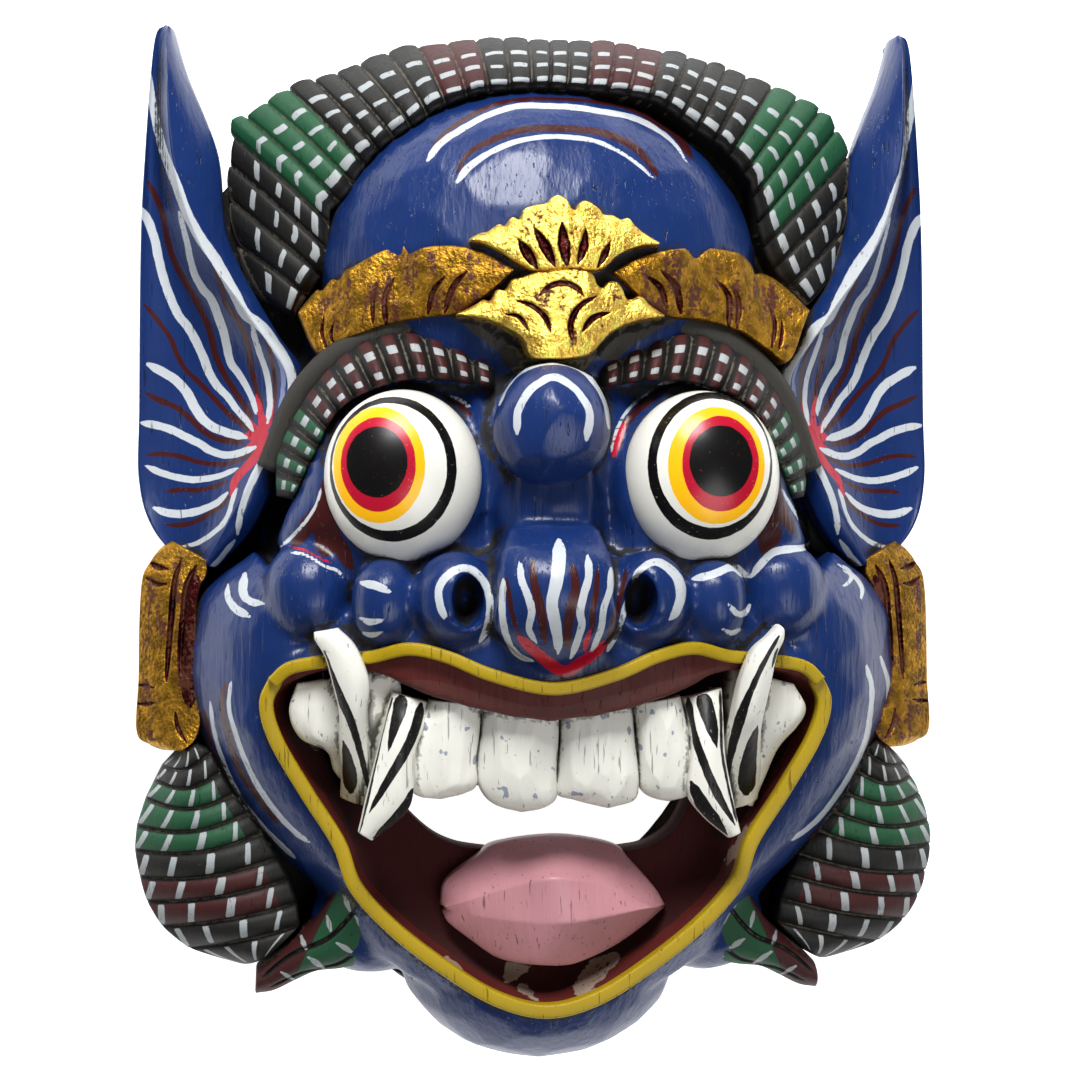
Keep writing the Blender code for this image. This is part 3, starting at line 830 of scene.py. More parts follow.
    def _cuts(self) -> None:
        """The mouth, the nostrils, the flat back and the hollows behind the face."""
        self.solid.cuts.append(prism(closed(OPENING), MOUTH_FLOOR, 140, narrowing=0.8))
        for side in SIDES:
            self.solid.cuts.append(ball((side * 30, -21.3, 108.4), (5.5, 9.5, 20), steps=(32, 24)))
        self.solid.hollows += [
            ball((0, 0, -50), (400, 400, 50), squareness=0.01, steps=(16, 8)),
            *(ball((*h.centre, 0), h.radii, steps=(72, 40)) for h in HOLLOWS),
            prism(traced(GAP, MOUTH_FLOOR, MOUTH_FLOOR), -60, 140),
        ]

    @staticmethod
    def _carve(mesh: bpy.types.Mesh) -> None:
        """Leaves the cuts of the gouge on the skin."""
        shape = from_mesh(mesh)
        points = gouged(shape.points, normals_of(mesh), 13.0, 1.1, seed=3)
        mesh.vertices.foreach_set("co", (points * MM).ravel())
        mesh.update()

    @staticmethod
    def _paint(shape: Shape) -> None:
        """Lays the brush strokes, the maroon of the mouth, painted shade deep in the mouth and painted shadow under
        the gold leaves.
        """
        lips = [(x, y) for x, y, _ in MOUTH_LINE[::-1]] + [(x, y) for x, y, _ in JAW_LINE[1:]]
        shape.values["mouth"] = inside(closed(lips), shape.points)
        # Painted shade: darker deep inside the mouth's opening and under 60 mm.
        pit = inside(closed(OPENING), shape.points) * 0.6 - np.maximum(0, shape.points[:, 2] - 60)
        shape.values["pit"] = np.clip(pit, -7, 7)
        paint(shape, "mauve", LIP_MAUVE)
        # Painted shadow under the gold leaves.
        paint(shape, "ash", UNDER_LEAF)
        paint(shape, "bare", LIP_BARE)
        paint(shape, "white", FACE_WHITE)
        paint(shape, "maroon", FACE_MAROON)
        paint(shape, "red", FACE_RED)


def inside(outline: Points, points: np.ndarray) -> np.ndarray:
    """How far inside a smooth closed outline the points lie, in millimetres, seen from above."""
    ring = Path(list(outline) + [outline[0]]).at(np.linspace(0, 1, 161))[:, :2]
    spots = points[:, :2]
    depth = np.full(len(spots), 1e3)
    crossings = np.zeros(len(spots), int)
    for a, b in zip(ring, ring[1:]):
        run = b - a
        along = np.clip((spots - a) @ run / max(run @ run, 1e-9), 0, 1)
        depth = np.minimum(depth, np.linalg.norm(spots - a - along[:, None] * run, axis=1))
        straddles = (a[1] > spots[:, 1]) != (b[1] > spots[:, 1])
        rise = run[1] if run[1] else 1e-9
        crossings += straddles & (spots[:, 0] < a[0] + (spots[:, 1] - a[1]) * run[0] / rise)
    return np.clip(np.where(crossings % 2 == 1, depth, -depth), -20, 20)


# Brush strokes on the face
FACE_WHITE = (
    Stroke([(427, 161), (441, 143), (465, 127), (488, 115), (518, 106), (545, 106), (572, 107),
            (599, 111), (631, 117), (656, 129), (674, 143), (689, 166)], (7, 6, 6, 6, 6, 2)),
    Stroke([(457, 182), (470, 166), (491, 152), (515, 142), (541, 137), (568, 137), (595, 141),
            (620, 152), (640, 166), (656, 181)], (8, 6, 5, 5, 4, 3)),
    Stroke([(503.6, 579), (502, 603), (504, 627), (510.6, 646), (521, 657), (534, 661)], (7, 7, 5)),
    Stroke([(520, 561.6), (521.4, 579), (528, 596), (532, 611.5), (529, 629), (536.6, 644)], (7, 8, 6)),
    Stroke([(559, 541), (559, 559.5), (557, 579), (552, 603), (555, 622), (558, 640), (558, 653)],
           (13, 14, 12, 12, 8)),
    Stroke([(588, 556), (588.6, 577), (584, 594), (580, 611.5), (582, 624.5), (577, 642), (571, 658)],
           (8, 8, 7)),
    Stroke([(611, 568), (610, 590), (604, 607), (601.6, 627), (596, 642), (591, 651.6)], (7, 7, 6)),
    Stroke([(625.5, 601), (623, 616), (617, 633), (606, 653)], (6, 5)),
    Stroke([(446.6, 621), (440, 605), (439, 588), (448, 575), (463, 568), (476, 572.5), (487, 588),
            (490, 607), (487, 627), (480, 642)], (8, 8, 8, 7)),
    Stroke([(632, 584), (638, 572), (653, 562), (666, 566), (678, 579), (681, 595.5), (676, 612),
            (670, 620)], (5, 8, 11, 8)),
    Stroke([(361, 583), (375, 585.5), (391, 592)], (9, 8)),
    Stroke([(360, 618), (370, 622), (384, 620)], (7, 6)),
    Stroke([(362, 633), (372, 635), (383, 632)], (6, 5)),
    Stroke([(693, 579), (713, 574), (733, 567), (743, 574), (749, 576)], (8, 8)),
    Stroke([(728, 602), (733, 610), (741, 615), (748, 609), (750, 604)], (6, 6)),
    Stroke([(722, 629), (732, 633), (742, 628)], (6, 5)),
    Stroke([(837, 564), (847, 569), (852, 577), (847, 584), (840.5, 587)], (4, 4)),
    Stroke([(844, 571), (855, 577), (862, 588), (861, 599)], (4, 5)),
    Stroke([(228, 584), (228, 597), (236, 609), (249, 616)], (5, 10)),
    Stroke([(245, 574), (243, 593), (252, 602), (264, 603)], (10, 7)),
    Stroke([(322, 486), (316, 505), (306, 521), (291, 537.5), (280, 547)], (3, 4)),
    Stroke([(288, 552), (306, 555), (325, 566), (338, 571), (345, 579)], (3, 4)),
    Stroke([(781.6, 488), (791, 506), (802, 522.5), (813, 539), (805.6, 547), (791, 549), (774, 552),
            (762.5, 562), (751, 577)], (3, 4, 8, 7)),
    Stroke([(447.6, 395), (462.5, 401.5), (474, 411)], (4, 4)),
    Stroke([(610, 456), (616.6, 430), (628, 410), (645, 395), (666, 383), (686, 381.6),
            (706, 386.5), (724, 395)], (3, 4)),
    Stroke([(231, 680), (229, 708), (236, 735), (245, 760), (259, 788), (277, 813), (295, 832),
            (310, 843)], (4, 5, 6, 5)),
    Stroke([(210, 701), (214, 731), (224, 763), (240, 797), (259, 822), (277, 841), (295, 858)], (4, 5)),
    Stroke([(866, 664), (872, 690), (868, 730), (861, 752), (849, 776), (832, 802), (814, 823),
            (792, 840)], (5, 6, 5)),
    Stroke([(880, 655), (888, 682), (887, 708), (883, 730), (875, 759), (863, 783), (845, 811),
            (828, 837), (811, 856)], (4, 5, 4)),
)
FACE_MAROON = (
    Stroke([(431, 149), (447, 131), (470, 116), (497, 104), (527, 99), (563, 99), (599, 102),
            (631, 109), (661, 125), (677, 136), (691, 157)], (4, 5, 4, 4, 5, 9)),
    Stroke([(456, 174), (468, 154), (490, 141), (513, 132), (541, 128), (572, 129), (599, 132),
            (622, 140), (640, 152), (659, 177)], (4, 7, 7, 7, 8, 6)),
    Stroke([(506, 577), (510.6, 605), (515, 624.5), (521, 640)], (5, 5)),
    Stroke([(533, 558), (534, 581), (539, 603), (543, 624.5), (545, 644)], (6, 10, 8)),
    Stroke([(572, 562), (575.6, 585.5), (572, 605), (568, 627), (568, 648)], (7, 11, 9)),
    Stroke([(598, 568), (596, 592), (593, 611.5), (592, 633)], (5, 7, 6)),
    Stroke([(626.6, 568), (621, 594), (615, 616), (608, 640), (599.5, 653)], (5, 6, 5)),
    Stroke([(444, 398), (459, 405), (474, 420)], (6, 6)),
    Stroke([(616.6, 453), (621.6, 431), (633, 415), (650, 400), (670, 387), (693, 386.5)], (8, 7, 4)),
    Stroke([(324, 480), (320, 507), (304, 530), (294, 546)], (5, 14, 18, 10)),
    Stroke([(330, 500), (328, 530), (325, 552)], (8, 26, 22)),
    Stroke([(334, 534), (345, 556), (352, 570)], (12, 16, 8)),
    Stroke([(777, 480), (780, 507), (794, 532)], (5, 14, 10)),
    Stroke([(772, 515), (770, 535), (762, 552)], (8, 24, 10)),
    Stroke([(226, 682), (222, 705), (229, 737), (240, 770), (259, 799), (279, 825)], (6, 7, 5)),
    Stroke([(205, 706), (209, 735), (219, 766), (235, 799), (254, 825)], (3, 4)),
    Stroke([(873, 735), (860, 770), (835, 813), (807, 840)], (5, 6, 4)),
)
FACE_RED = (
    Stroke([(519, 637.5), (534, 650.5), (549.6, 663.6), (565, 672), (580, 663.6), (595, 653),
            (606, 642)], (10, 12, 12, 10)),
    Stroke([(584, 650), (591, 627)], (8, 4)),
    Stroke([(614, 457), (617, 440), (626, 421)], (9, 10, 5)),
    Stroke([(288, 546), (304, 550), (318, 557), (332.5, 564)], (3, 3)),
)
# Painted shadow: dark grey on the face under the gold leaves.
UNDER_LEAF = (
    Stroke([(444, 292), (486, 312), (518, 350)], (30, 50, 28)),
    Stroke([(604, 352), (634, 316), (684, 300)], (28, 50, 30)),
)
LIP_MAUVE = (
    Stroke([(371, 677), (394, 687), (423, 691), (451, 697), (485, 707), (521, 716), (550, 718),
            (579.5, 714.5), (619, 705), (658.6, 695), (698, 683), (728, 671)], (12, 24, 24, 22, 22, 24, 16)),
)
# Where the paint is worn off inside the lower lip
LIP_BARE = (
    Stroke([(724, 866), (744, 838), (764, 816)], (7, 13, 7)),
    Stroke([(294, 708), (301, 728), (316, 748)], (8, 11, 7)),
    Stroke([(506, 982), (516, 968), (534, 962)], (12, 20, 10)),
    Stroke([(578, 992), (594, 972), (618, 955)], (20, 22, 10)),
    Stroke([(520, 985), (536, 1000)], (14, 6)),
    Stroke([(446, 958), (462, 972)], (8, 10)),
)
# Brush strokes on the ear at the left of the photograph; the other ear has their mirror image
EAR_WHITE = (
    Stroke([(141.8, 45), (146.8, 68), (150.4, 91), (155.7, 120), (163.8, 152), (177, 186), (186, 211),
            (200.4, 238), (216.4, 261), (234.3, 293), (245, 314), (254.8, 321), (264.6, 330),
            (275.4, 345), (286, 361), (291.4, 375), (292.3, 389), (289.6, 407), (280.7, 427),
            (270, 448), (257.5, 470), (246.8, 493), (240.5, 514), (237.5, 534)], (7, 9, 11, 11, 9, 6)),
    Stroke([(235, 540), (227, 550), (218, 561), (208.4, 569)], (5, 5)),
    Stroke([(140.5, 207.5), (148.6, 222), (154.8, 240), (158.4, 257.5), (163, 277), (171, 299),
            (179, 316), (188.8, 328.6), (196.8, 343), (204, 359), (209.3, 373), (217.3, 386),
            (227, 396), (238, 411), (246.8, 421), (253, 431)], (9, 9, 9, 6)),
    Stroke([(179, 211), (182.5, 225), (187, 243), (190.5, 259), (195, 275), (202, 288), (211, 299),
            (218, 316), (223.6, 332), (227, 348), (230.7, 362.5), (238, 373), (245, 384), (251, 396),
            (254.8, 407), (256.6, 416)], (5, 7, 9, 8, 5)),
    Stroke([(252, 327), (255.7, 341), (261, 357), (266.4, 373), (269, 389), (270, 405),
            (267.3, 423)], (6, 6)),
    Stroke([(147.7, 364), (161, 371), (175.4, 380), (186, 391), (193, 404), (202, 418), (213, 427),
            (225.4, 432), (236, 435), (246.8, 437.5)], (9, 10, 8)),
    Stroke([(141.4, 423), (155.7, 425), (172, 430), (186, 437), (198.6, 443), (209, 450),
            (222, 454.5), (234, 454.5), (245, 451), (255.7, 447)], (8, 8, 7)),
    Stroke([(146, 466), (159, 472), (175.4, 477), (191.4, 479.5), (207.5, 478.6), (222, 475),
            (238, 468)], (7, 7, 5)),
    Stroke([(154, 508), (166.4, 512.5), (179, 514), (191.4, 512.5), (204, 509), (216.4, 503),
            (228, 492)], (8, 8, 5)),
    Stroke([(180, 547), (195, 544), (209, 536), (222, 525), (229, 512.5), (232.5, 500),
            (237, 488)], (5, 5)),
)
EAR_GREY = (
    Stroke([(266.4, 337.5), (275.4, 352), (281.6, 366), (283.4, 379), (282.5, 395), (279, 414)], (5, 5)),
)
EAR_MAROON = (
    Stroke([(147.7, 181), (155.7, 197), (163, 216), (167.3, 238), (173.6, 259), (182.5, 277),
            (193, 295), (205.7, 320), (211, 336), (214.6, 352), (221, 368), (229, 382), (238, 396),
            (246.8, 409), (254, 420)], (6, 7, 6)),
    Stroke([(214.6, 270), (221.8, 288), (226, 303), (236, 318), (245, 334), (248.6, 350),
            (251, 368), (255.7, 386), (260, 402), (261, 416)], (6, 6)),
    Stroke([(144, 304.5), (155.7, 318), (170, 337.5), (177, 355), (186, 370), (198.6, 382),
            (211, 395), (223.6, 409), (236, 420), (252, 432)], (5, 6)),
    Stroke([(146, 393), (159, 400), (175.4, 407), (189.6, 418), (200.4, 429), (213, 437),
            (227, 441), (245, 443)], (6, 6)),
    Stroke([(146.8, 455), (163, 454), (179, 456), (195, 461), (211, 464), (227, 464), (241, 459),
            (254, 452)], (5, 5)),
    Stroke([(164.6, 492), (181, 490), (198.6, 490), (213, 487), (229, 480)], (5, 5)),
    Stroke([(165.5, 525), (181, 525), (197, 521), (209, 514), (222, 505), (231, 495)], (5, 5)),
    Stroke([(264.6, 334), (270, 352), (273.6, 371), (275.4, 389), (273.6, 407), (270, 425)], (5, 5)),
)
EAR_RED = (
    Stroke([(250, 433), (260, 435), (268, 436)], (12, 16, 12)),
    Stroke([(261, 416), (263, 443), (252, 461), (236, 479), (231, 495)], (7, 9, 7)),
    Stroke([(261, 435), (247, 420), (236, 405)], (9, 6, 3)),
    Stroke([(261, 437), (244, 436), (226, 434)], (9, 6, 3)),
    Stroke([(259, 440), (243, 452), (226, 459)], (9, 6, 3)),
    Stroke([(262, 430), (260, 408), (255, 392)], (8, 6, 3)),
    Stroke([(265, 432), (271, 412), (273, 396)], (8, 6, 3)),
)


@dataclass(frozen=True)
class EyePaint:
    """An eyeball's middle, and the rings painted on it in pixels."""

    centre: tuple[float, float, float]
    pupil: Oval
    red: Oval
    yellow: Oval
    line: Oval


LEFT_EYE = EyePaint(
    (-51.5, 22.5, 84),
    pupil=Oval((377, 462), (30.7, 35.7)),
    red=Oval((378.3, 464.5), (37.7, 47.3)),
    yellow=Oval((379.2, 465), (46, 58.4)),
    line=Oval((393.1, 469.2), (63.6, 72.7), (389.6, 467), (57.2, 63.7)),
)
RIGHT_EYE = EyePaint(
    (54.5, 22.5, 84),
    pupil=Oval((721, 461), (31.5, 35.7)),
    red=Oval((720.6, 463.6), (38.5, 48)),
    yellow=Oval((716.4, 465.5), (48.5, 58.7)),
    line=Oval((710, 465.8), (62.4, 74), (713.6, 463.2), (56.4, 64.3)),
)
NOSE_WHITE = (
    Stroke([(499, 405.5), (506, 388), (519, 373), (539, 364), (560.5, 362.6), (580, 369),
            (595, 384), (605, 403), (609, 429)], (4, 5, 5, 4)),
    Stroke([(517, 434), (518, 412), (528, 392.5), (541, 382), (554, 377), (569, 384), (582, 397),
            (589.7, 414), (586.5, 440)], (8, 8, 7, 9)),
)


@dataclass
class Eyes:
    """The two bulging eyes and the ball on the bridge of the nose between them."""

    radii: tuple[float, float, float] = (27.8, 30.5, 20)

    def build(self) -> list[Piece]:
        """Both eyeballs and the nose ball."""
        pieces = []
        for name, rings in (("left", LEFT_EYE), ("right", RIGHT_EYE)):
            eye = ball(rings.centre, self.radii, steps=(120, 90))
            paint(eye, "yellow", [rings.yellow])
            paint(eye, "red", [rings.red])
            paint(eye, "black", [rings.pupil, rings.line])
            pieces.append(Piece(f"{name}_eye", eye, "eye", Slot.WHITE))
        tip = ball((0, 40, 98), (20.5, 22, 22), steps=(96, 64))
        outward = (tip.points - (0, 40, 98)) / 22
        tip.points = gouged(tip.points, outward, 15.0, 2.0, 12)
        paint(tip, "white", NOSE_WHITE)
        pieces.append(Piece("nose_ball", tip, "blue", Slot.BLUE))
        return pieces


@dataclass
class Ears:
    """The tall pointed ears, with a raised crest around a hollowed field."""

    outer: Points = (
        (137, 190, 28), (141, 183, 28), (144.5, 140, 27), (146, 107, 26), (146.5, 50, 26),
        (146.5, 22, 28), (141, 4, 32), (127, -12, 34),
    )
    crest: Points = (
        (136, 189, 32), (136, 176, 40), (134, 140, 46), (124, 108, 48), (107, 83, 48),
        (92, 59, 50), (97, 40, 52), (107, 18, 52), (122, -9, 44),
    )
    inner: Points = (
        (134, 188, 28), (129, 171, 30), (118, 142, 34), (114, 110, 36), (97, 77, 40),
        (86, 60, 44), (90, 42, 46), (103, 8, 46), (118, -10, 38),
    )

    def build(self) -> list[Piece]:
        """Both ears."""
        pieces = []
        for side, name in ((-1, "left"), (1, "right")):
            hollow = between(
                on_side(self.outer, side), on_side(self.crest, side),
                lambda s, t: -11 * hill(t, 0.6) * hill(s, 0.8),
            )
            rim = between(
                on_side(self.crest, side), on_side(self.inner, side), lambda s, t: 1.5 * hill(s)
            )

            def place(s: np.ndarray, t: np.ndarray) -> np.ndarray:
                """The hollowed field for the first 0.7 of s, and then the rim."""
                share = np.clip(s / 0.7, 0, 1)
                beyond = np.clip((s - 0.7) / 0.3, 0, 1)
                return np.where((s <= 0.7)[..., None], hollow(share, t), rim(beyond, t))

            ear = strip(place, (60, 220), tuck=2.0)
            mirrored = side == 1
            paint(ear, "white", EAR_WHITE, mirrored)
            paint(ear, "grey", EAR_GREY, mirrored)
            paint(ear, "maroon", EAR_MAROON, mirrored)
            paint(ear, "red", EAR_RED, mirrored)
            pieces.append(Piece(f"{name}_ear", ear, "blue", Slot.BLUE))
        return pieces


class Hue(Enum):
    """The colours that the locks, tufts and bands are painted in."""

    BLACK = 0
    GREEN = 1
    MAROON = 2


def hue_values(shape: Shape, hues: Sequence[Hue], place: np.ndarray, width: float) -> None:
    """Stores how deep inside a green and a maroon lock each point lies.

    Args:
        shape: The locks.
        hues: The colour of each lock.
        place: Where each point lies, counted in locks.
        width: The width of a lock in millimetres.
    """
    for hue in (Hue.GREEN, Hue.MAROON):
        depth = np.full(len(place), -width)
        for index, one in enumerate(hues):
            if one is hue:
                depth = np.maximum(depth, (0.5 - np.abs(place - index - 0.5)) * width)
        shape.values[hue.name.lower()] = depth


LETTERS = {"K": Hue.BLACK, "G": Hue.GREEN, "M": Hue.MAROON}


@dataclass
class Hair:
    """The fan of painted locks around the crown."""

    # The middle of each lock's outer and inner end, in pixels, from the left ear over the crown
    ends: Points = (
        (243, 267, 300, 305), (229, 219, 314, 284), (227, 178, 329, 264), (229, 146, 329, 237),
        (234, 121, 330, 209), (254, 107, 348, 192), (275, 92, 359, 173), (302, 82, 371, 155),
        (325, 75, 386, 142), (348, 69, 402, 130), (371, 57, 420, 119), (404, 46, 436, 107),
        (432, 43, 457, 98), (463, 40, 479, 90), (490, 37, 500, 88), (517, 38, 522, 86),
        (541, 39, 543, 86), (559, 40, 558, 86), (580, 39, 578, 88), (605, 40, 599, 90),
        (628, 43, 618, 91), (650, 48, 641, 95), (678, 52, 659, 100), (700, 59, 675, 110),
        (719, 64, 689, 121), (736, 71, 707, 134), (761, 80, 723, 144), (787, 91, 739, 162),
        (811, 103, 752, 180), (832, 114, 759, 209), (845, 141, 762, 232), (857, 166, 770, 257),
        (859, 200, 782, 276), (850, 239, 800, 296),
    )
    hues: str = "KKKKGGGKKKKKMMKKKKKMMMKKKKKGGGGKKK"

    def build(self) -> list[Piece]:
        """The locks as one piece."""
        count = len(self.ends)
        rise = np.sin(np.linspace(0, np.pi, count)) ** 0.6
        outer = [spot(e[0], e[1], 28 + 2 * r) for e, r in zip(self.ends, rise)]
        inner = [spot(e[2], e[3], 44 + 16 * r) for e, r in zip(self.ends, rise)]
        rng = np.random.default_rng(7)
        lift = rng.uniform(-0.6, 0.6, count)
        longer = rng.uniform(-0.03, 0.03, count)
        centres = np.arange(count) + 0.5
        outer_ends, inner_ends = np.array(outer), np.array(inner)

        def place(s: np.ndarray, t: np.ndarray) -> np.ndarray:
            """The point at s from the inner ends outward and t over the crown."""
            lock = t * count
            index = np.clip(lock.astype(int), 0, count - 1)
            groove = lobes(t, count, 0.26)
            reach = s * (0.96 + 0.04 * groove + longer[index] * groove)
            rows = []
            for ends in (inner_ends, outer_ends):
                rows.append(np.stack([
                    np.interp(lock, centres, ends[:, i]) + beyond(lock, centres, ends[:, i])
                    for i in range(3)
                ], -1))
            points = rows[0] * (1 - reach[..., None]) + rows[1] * reach[..., None]
            points[..., 2] += 5 * hill(reach) - 4.2 * (1 - groove) + lift[index] * groove
            points[..., 2] -= 3.5 * smoothstep(0.12, 0.0, s)
            return points

        shape = strip(place, (44, count * 12), tuck=1.5)
        lock = shape.values["t"] * count
        hues = [LETTERS[letter] for letter in self.hues]
        inner_edge = 6 - 60 * smoothstep(0.14, 0.0, shape.values["s"])
        hue_values(shape, hues, lock, 7.0)
        for name in ("green", "maroon"):
            shape.values[name] = np.minimum(shape.values[name], inner_edge)
        dashes = self._dashes(shape, lock, outer_ends, inner_ends, rng)
        shape.values["white"] = dashes - 40 * shape.values["wall"]
        return [Piece("hair", shape, "hair", Slot.BLACK)]

    def _dashes(self, shape: Shape, lock: np.ndarray, outer: np.ndarray, inner: np.ndarray,
                rng: np.random.Generator) -> np.ndarray:
        """How deep inside a white dash each point lies."""
        depth = np.full(len(lock), -5.0)
        for index in range(len(outer)):
            length = float(np.linalg.norm(outer[index] - inner[index]))
            rows = max(2, round(length / 13))
            near = np.abs(lock - index - 0.5) < 0.6
            across = (lock[near] - index - 0.5) * 7.0
            for row in range(rows):
                share = 0.13 + (0.8 * row / rows) + rng.uniform(-0.02, 0.02)
                along = (shape.values["s"][near] - share) * length + across * rng.uniform(-0.25, 0.25)
                wide = (2.7 if row == 0 else 2.35) * rng.uniform(0.75, 1.1)
                tall = (1.9 if row == 0 else 1.45) * rng.uniform(0.7, 1.15)
                mark = np.minimum(wide - np.abs(across), tall - np.abs(along))
                depth[near] = np.maximum(depth[near], mark)
        return depth


def beyond(value: np.ndarray, knots: np.ndarray, heights: np.ndarray) -> np.ndarray:
    """What a straight run adds past the first and the last knot."""
    low = np.minimum(value - knots[0], 0) * (heights[1] - heights[0])
    high = np.maximum(value - knots[-1], 0) * (heights[-1] - heights[-2])
    return low + high


@dataclass
class Diadem:
    """The gold band over the brows, in two halves, and its two front leaves."""

    def build(self) -> list[Piece]:
        """Every piece of gold over the brows."""
        left = self._plate(
            [(299, 315), (318, 353), (338, 343), (359, 335), (393, 324), (428, 318), (455, 314),
             (483, 297), (512, 272)],
            [(299, 312), (306, 303), (316, 292), (323, 291), (331, 281), (339, 281), (345, 272),
             (353, 268), (372, 257), (398, 246), (403, 247), (408, 255), (414, 253), (424, 249),
             (444, 247), (464, 249), (490, 257), (511, 270)],
            (52, 58, 66, 74, 82, 88), LEFT_BAND_CUTS,
        )
        right = self._plate(
            [(614, 275), (638, 297), (652, 309), (669, 318), (703, 322), (738, 332), (765, 350),
             (787, 361), (806, 313)],
            [(613, 273), (634, 261), (655, 254), (679, 250), (686, 252), (691, 258), (696, 259),
             (704, 252), (712, 250), (734, 254), (742, 258), (749, 266), (753, 275), (760, 275),
             (772, 280), (789, 294), (806, 311)],
            (88, 82, 74, 66, 58, 52), RIGHT_BAND_CUTS,
        )
        upper = self._plate(
            [(470, 242), (486, 246), (503, 255), (521, 267), (541, 272), (565, 269), (590, 271),
             (604, 268), (617, 256), (636, 248), (657, 246)],
            [(469, 240), (478, 235), (487, 233), (497, 226), (504, 227), (511, 219), (519, 221),
             (523, 211), (533, 207), (545, 205), (551, 199), (558, 197), (566, 202), (570, 210),
             (575, 211), (579, 204), (586, 203), (597, 210), (602, 216), (611, 217), (619, 221),
             (627, 220), (634, 228), (644, 236), (657, 244)],
            (86, 90, 93, 90, 86), PETALS,
        )
        lower = self._plate(
            [(457, 316), (480, 319), (503, 327), (522, 340), (531, 357), (553, 359), (576, 358),
             (592, 352), (610, 333), (635, 322), (662, 318)],
            [(457, 314), (470, 308), (482, 301), (489, 302), (496, 291), (504, 291), (511, 281),
             (519, 279), (528, 276), (540, 272), (562, 269), (584, 272), (592, 277), (596, 286),
             (602, 289), (608, 283), (616, 284), (621, 291), (625, 300), (632, 300), (639, 297),
             (648, 306), (662, 316)],
            (86, 91, 95, 91, 86), LEAF_CUTS,
        )
        # The side bands take the darker gold: painted shade, with more wear.
        return [
            Piece("left_diadem", left, "dull_gold", Slot.GOLD),
            Piece("right_diadem", right, "dull_gold", Slot.GOLD),
            Piece("upper_leaf", upper, "gold", Slot.GOLD),
            Piece("lower_leaf", lower, "gold", Slot.GOLD),
        ]

    @staticmethod
    def _plate(low: Points, high: Points, heights: tuple[float, ...], cuts: Sequence) -> Shape:
        """A plate between its lower and its upper outline, with its pattern cut into it."""
        plate = strip(
            between(traced(low, *heights), traced(high, *(h - 3 for h in heights)),
                    lambda s, t: 5.5 + 2.2 * hill(s, 0.45)),
            (60, 150), tuck=1.5,
        )
        engrave(plate, "cut", cuts, 1.7)
        plate.points[:, 2] += 0.35 * ripple(plate.points, 9.0, 4)
        return plate


LEFT_BAND_CUTS = (
    Stroke([(445, 276), (433, 292), (428, 314)], (4, 6, 6)),
    Stroke([(467, 271), (453, 287), (445, 312)], (4, 7, 7)),
    Stroke([(377, 279), (373, 300), (373, 324)], (3, 5, 4)),
    Stroke([(394, 278), (385, 297), (386, 325)], (4, 6, 6)),
    Stroke([(324, 316), (322, 333), (328, 352)], (3, 4, 4)),
    Stroke([(334, 322), (331, 336), (337, 348)], (3, 4, 3)),
)
RIGHT_BAND_CUTS = (
    Stroke([(645, 275), (660, 287), (667, 308)], (4, 7, 6)),
    Stroke([(661, 270), (676, 287), (681, 313)], (4, 8, 7)),
    Stroke([(717, 280), (729, 297), (729, 327)], (4, 7, 6)),
    Stroke([(732, 286), (739, 302), (737, 328)], (4, 6, 5)),
    Stroke([(769, 303), (775, 325), (772, 347)], (3, 5, 4)),
    Stroke([(782, 319), (782, 334), (779, 350)], (3, 4, 4)),
)
PETALS = (
    Stroke([(518, 239), (527, 252), (537, 268)], (4, 12, 7)),
    Stroke([(534, 227), (545, 246), (555, 266)], (4, 12, 6)),
    Stroke([(562, 223), (564, 243), (567, 265)], (5, 13, 7)),
    Stroke([(586, 228), (584, 246), (578, 264)], (4, 10, 5)),
    Stroke([(611, 240), (606, 252), (598, 267)], (3, 8, 5)),
)
LEAF_CUTS = (
    Stroke([(539, 296), (550, 286), (565, 283), (577, 288), (584, 296)], (4, 7, 5)),
    Stroke([(517, 301), (531, 305), (545, 317), (551, 332)], (4, 6, 5)),
    Stroke([(505, 314), (519, 317), (529, 331)], (3, 5, 4)),
    Stroke([(597, 296), (580, 306), (571, 323), (573, 342)], (4, 7, 5)),
    Stroke([(611, 312), (593, 318), (582, 332)], (4, 7, 5)),
)


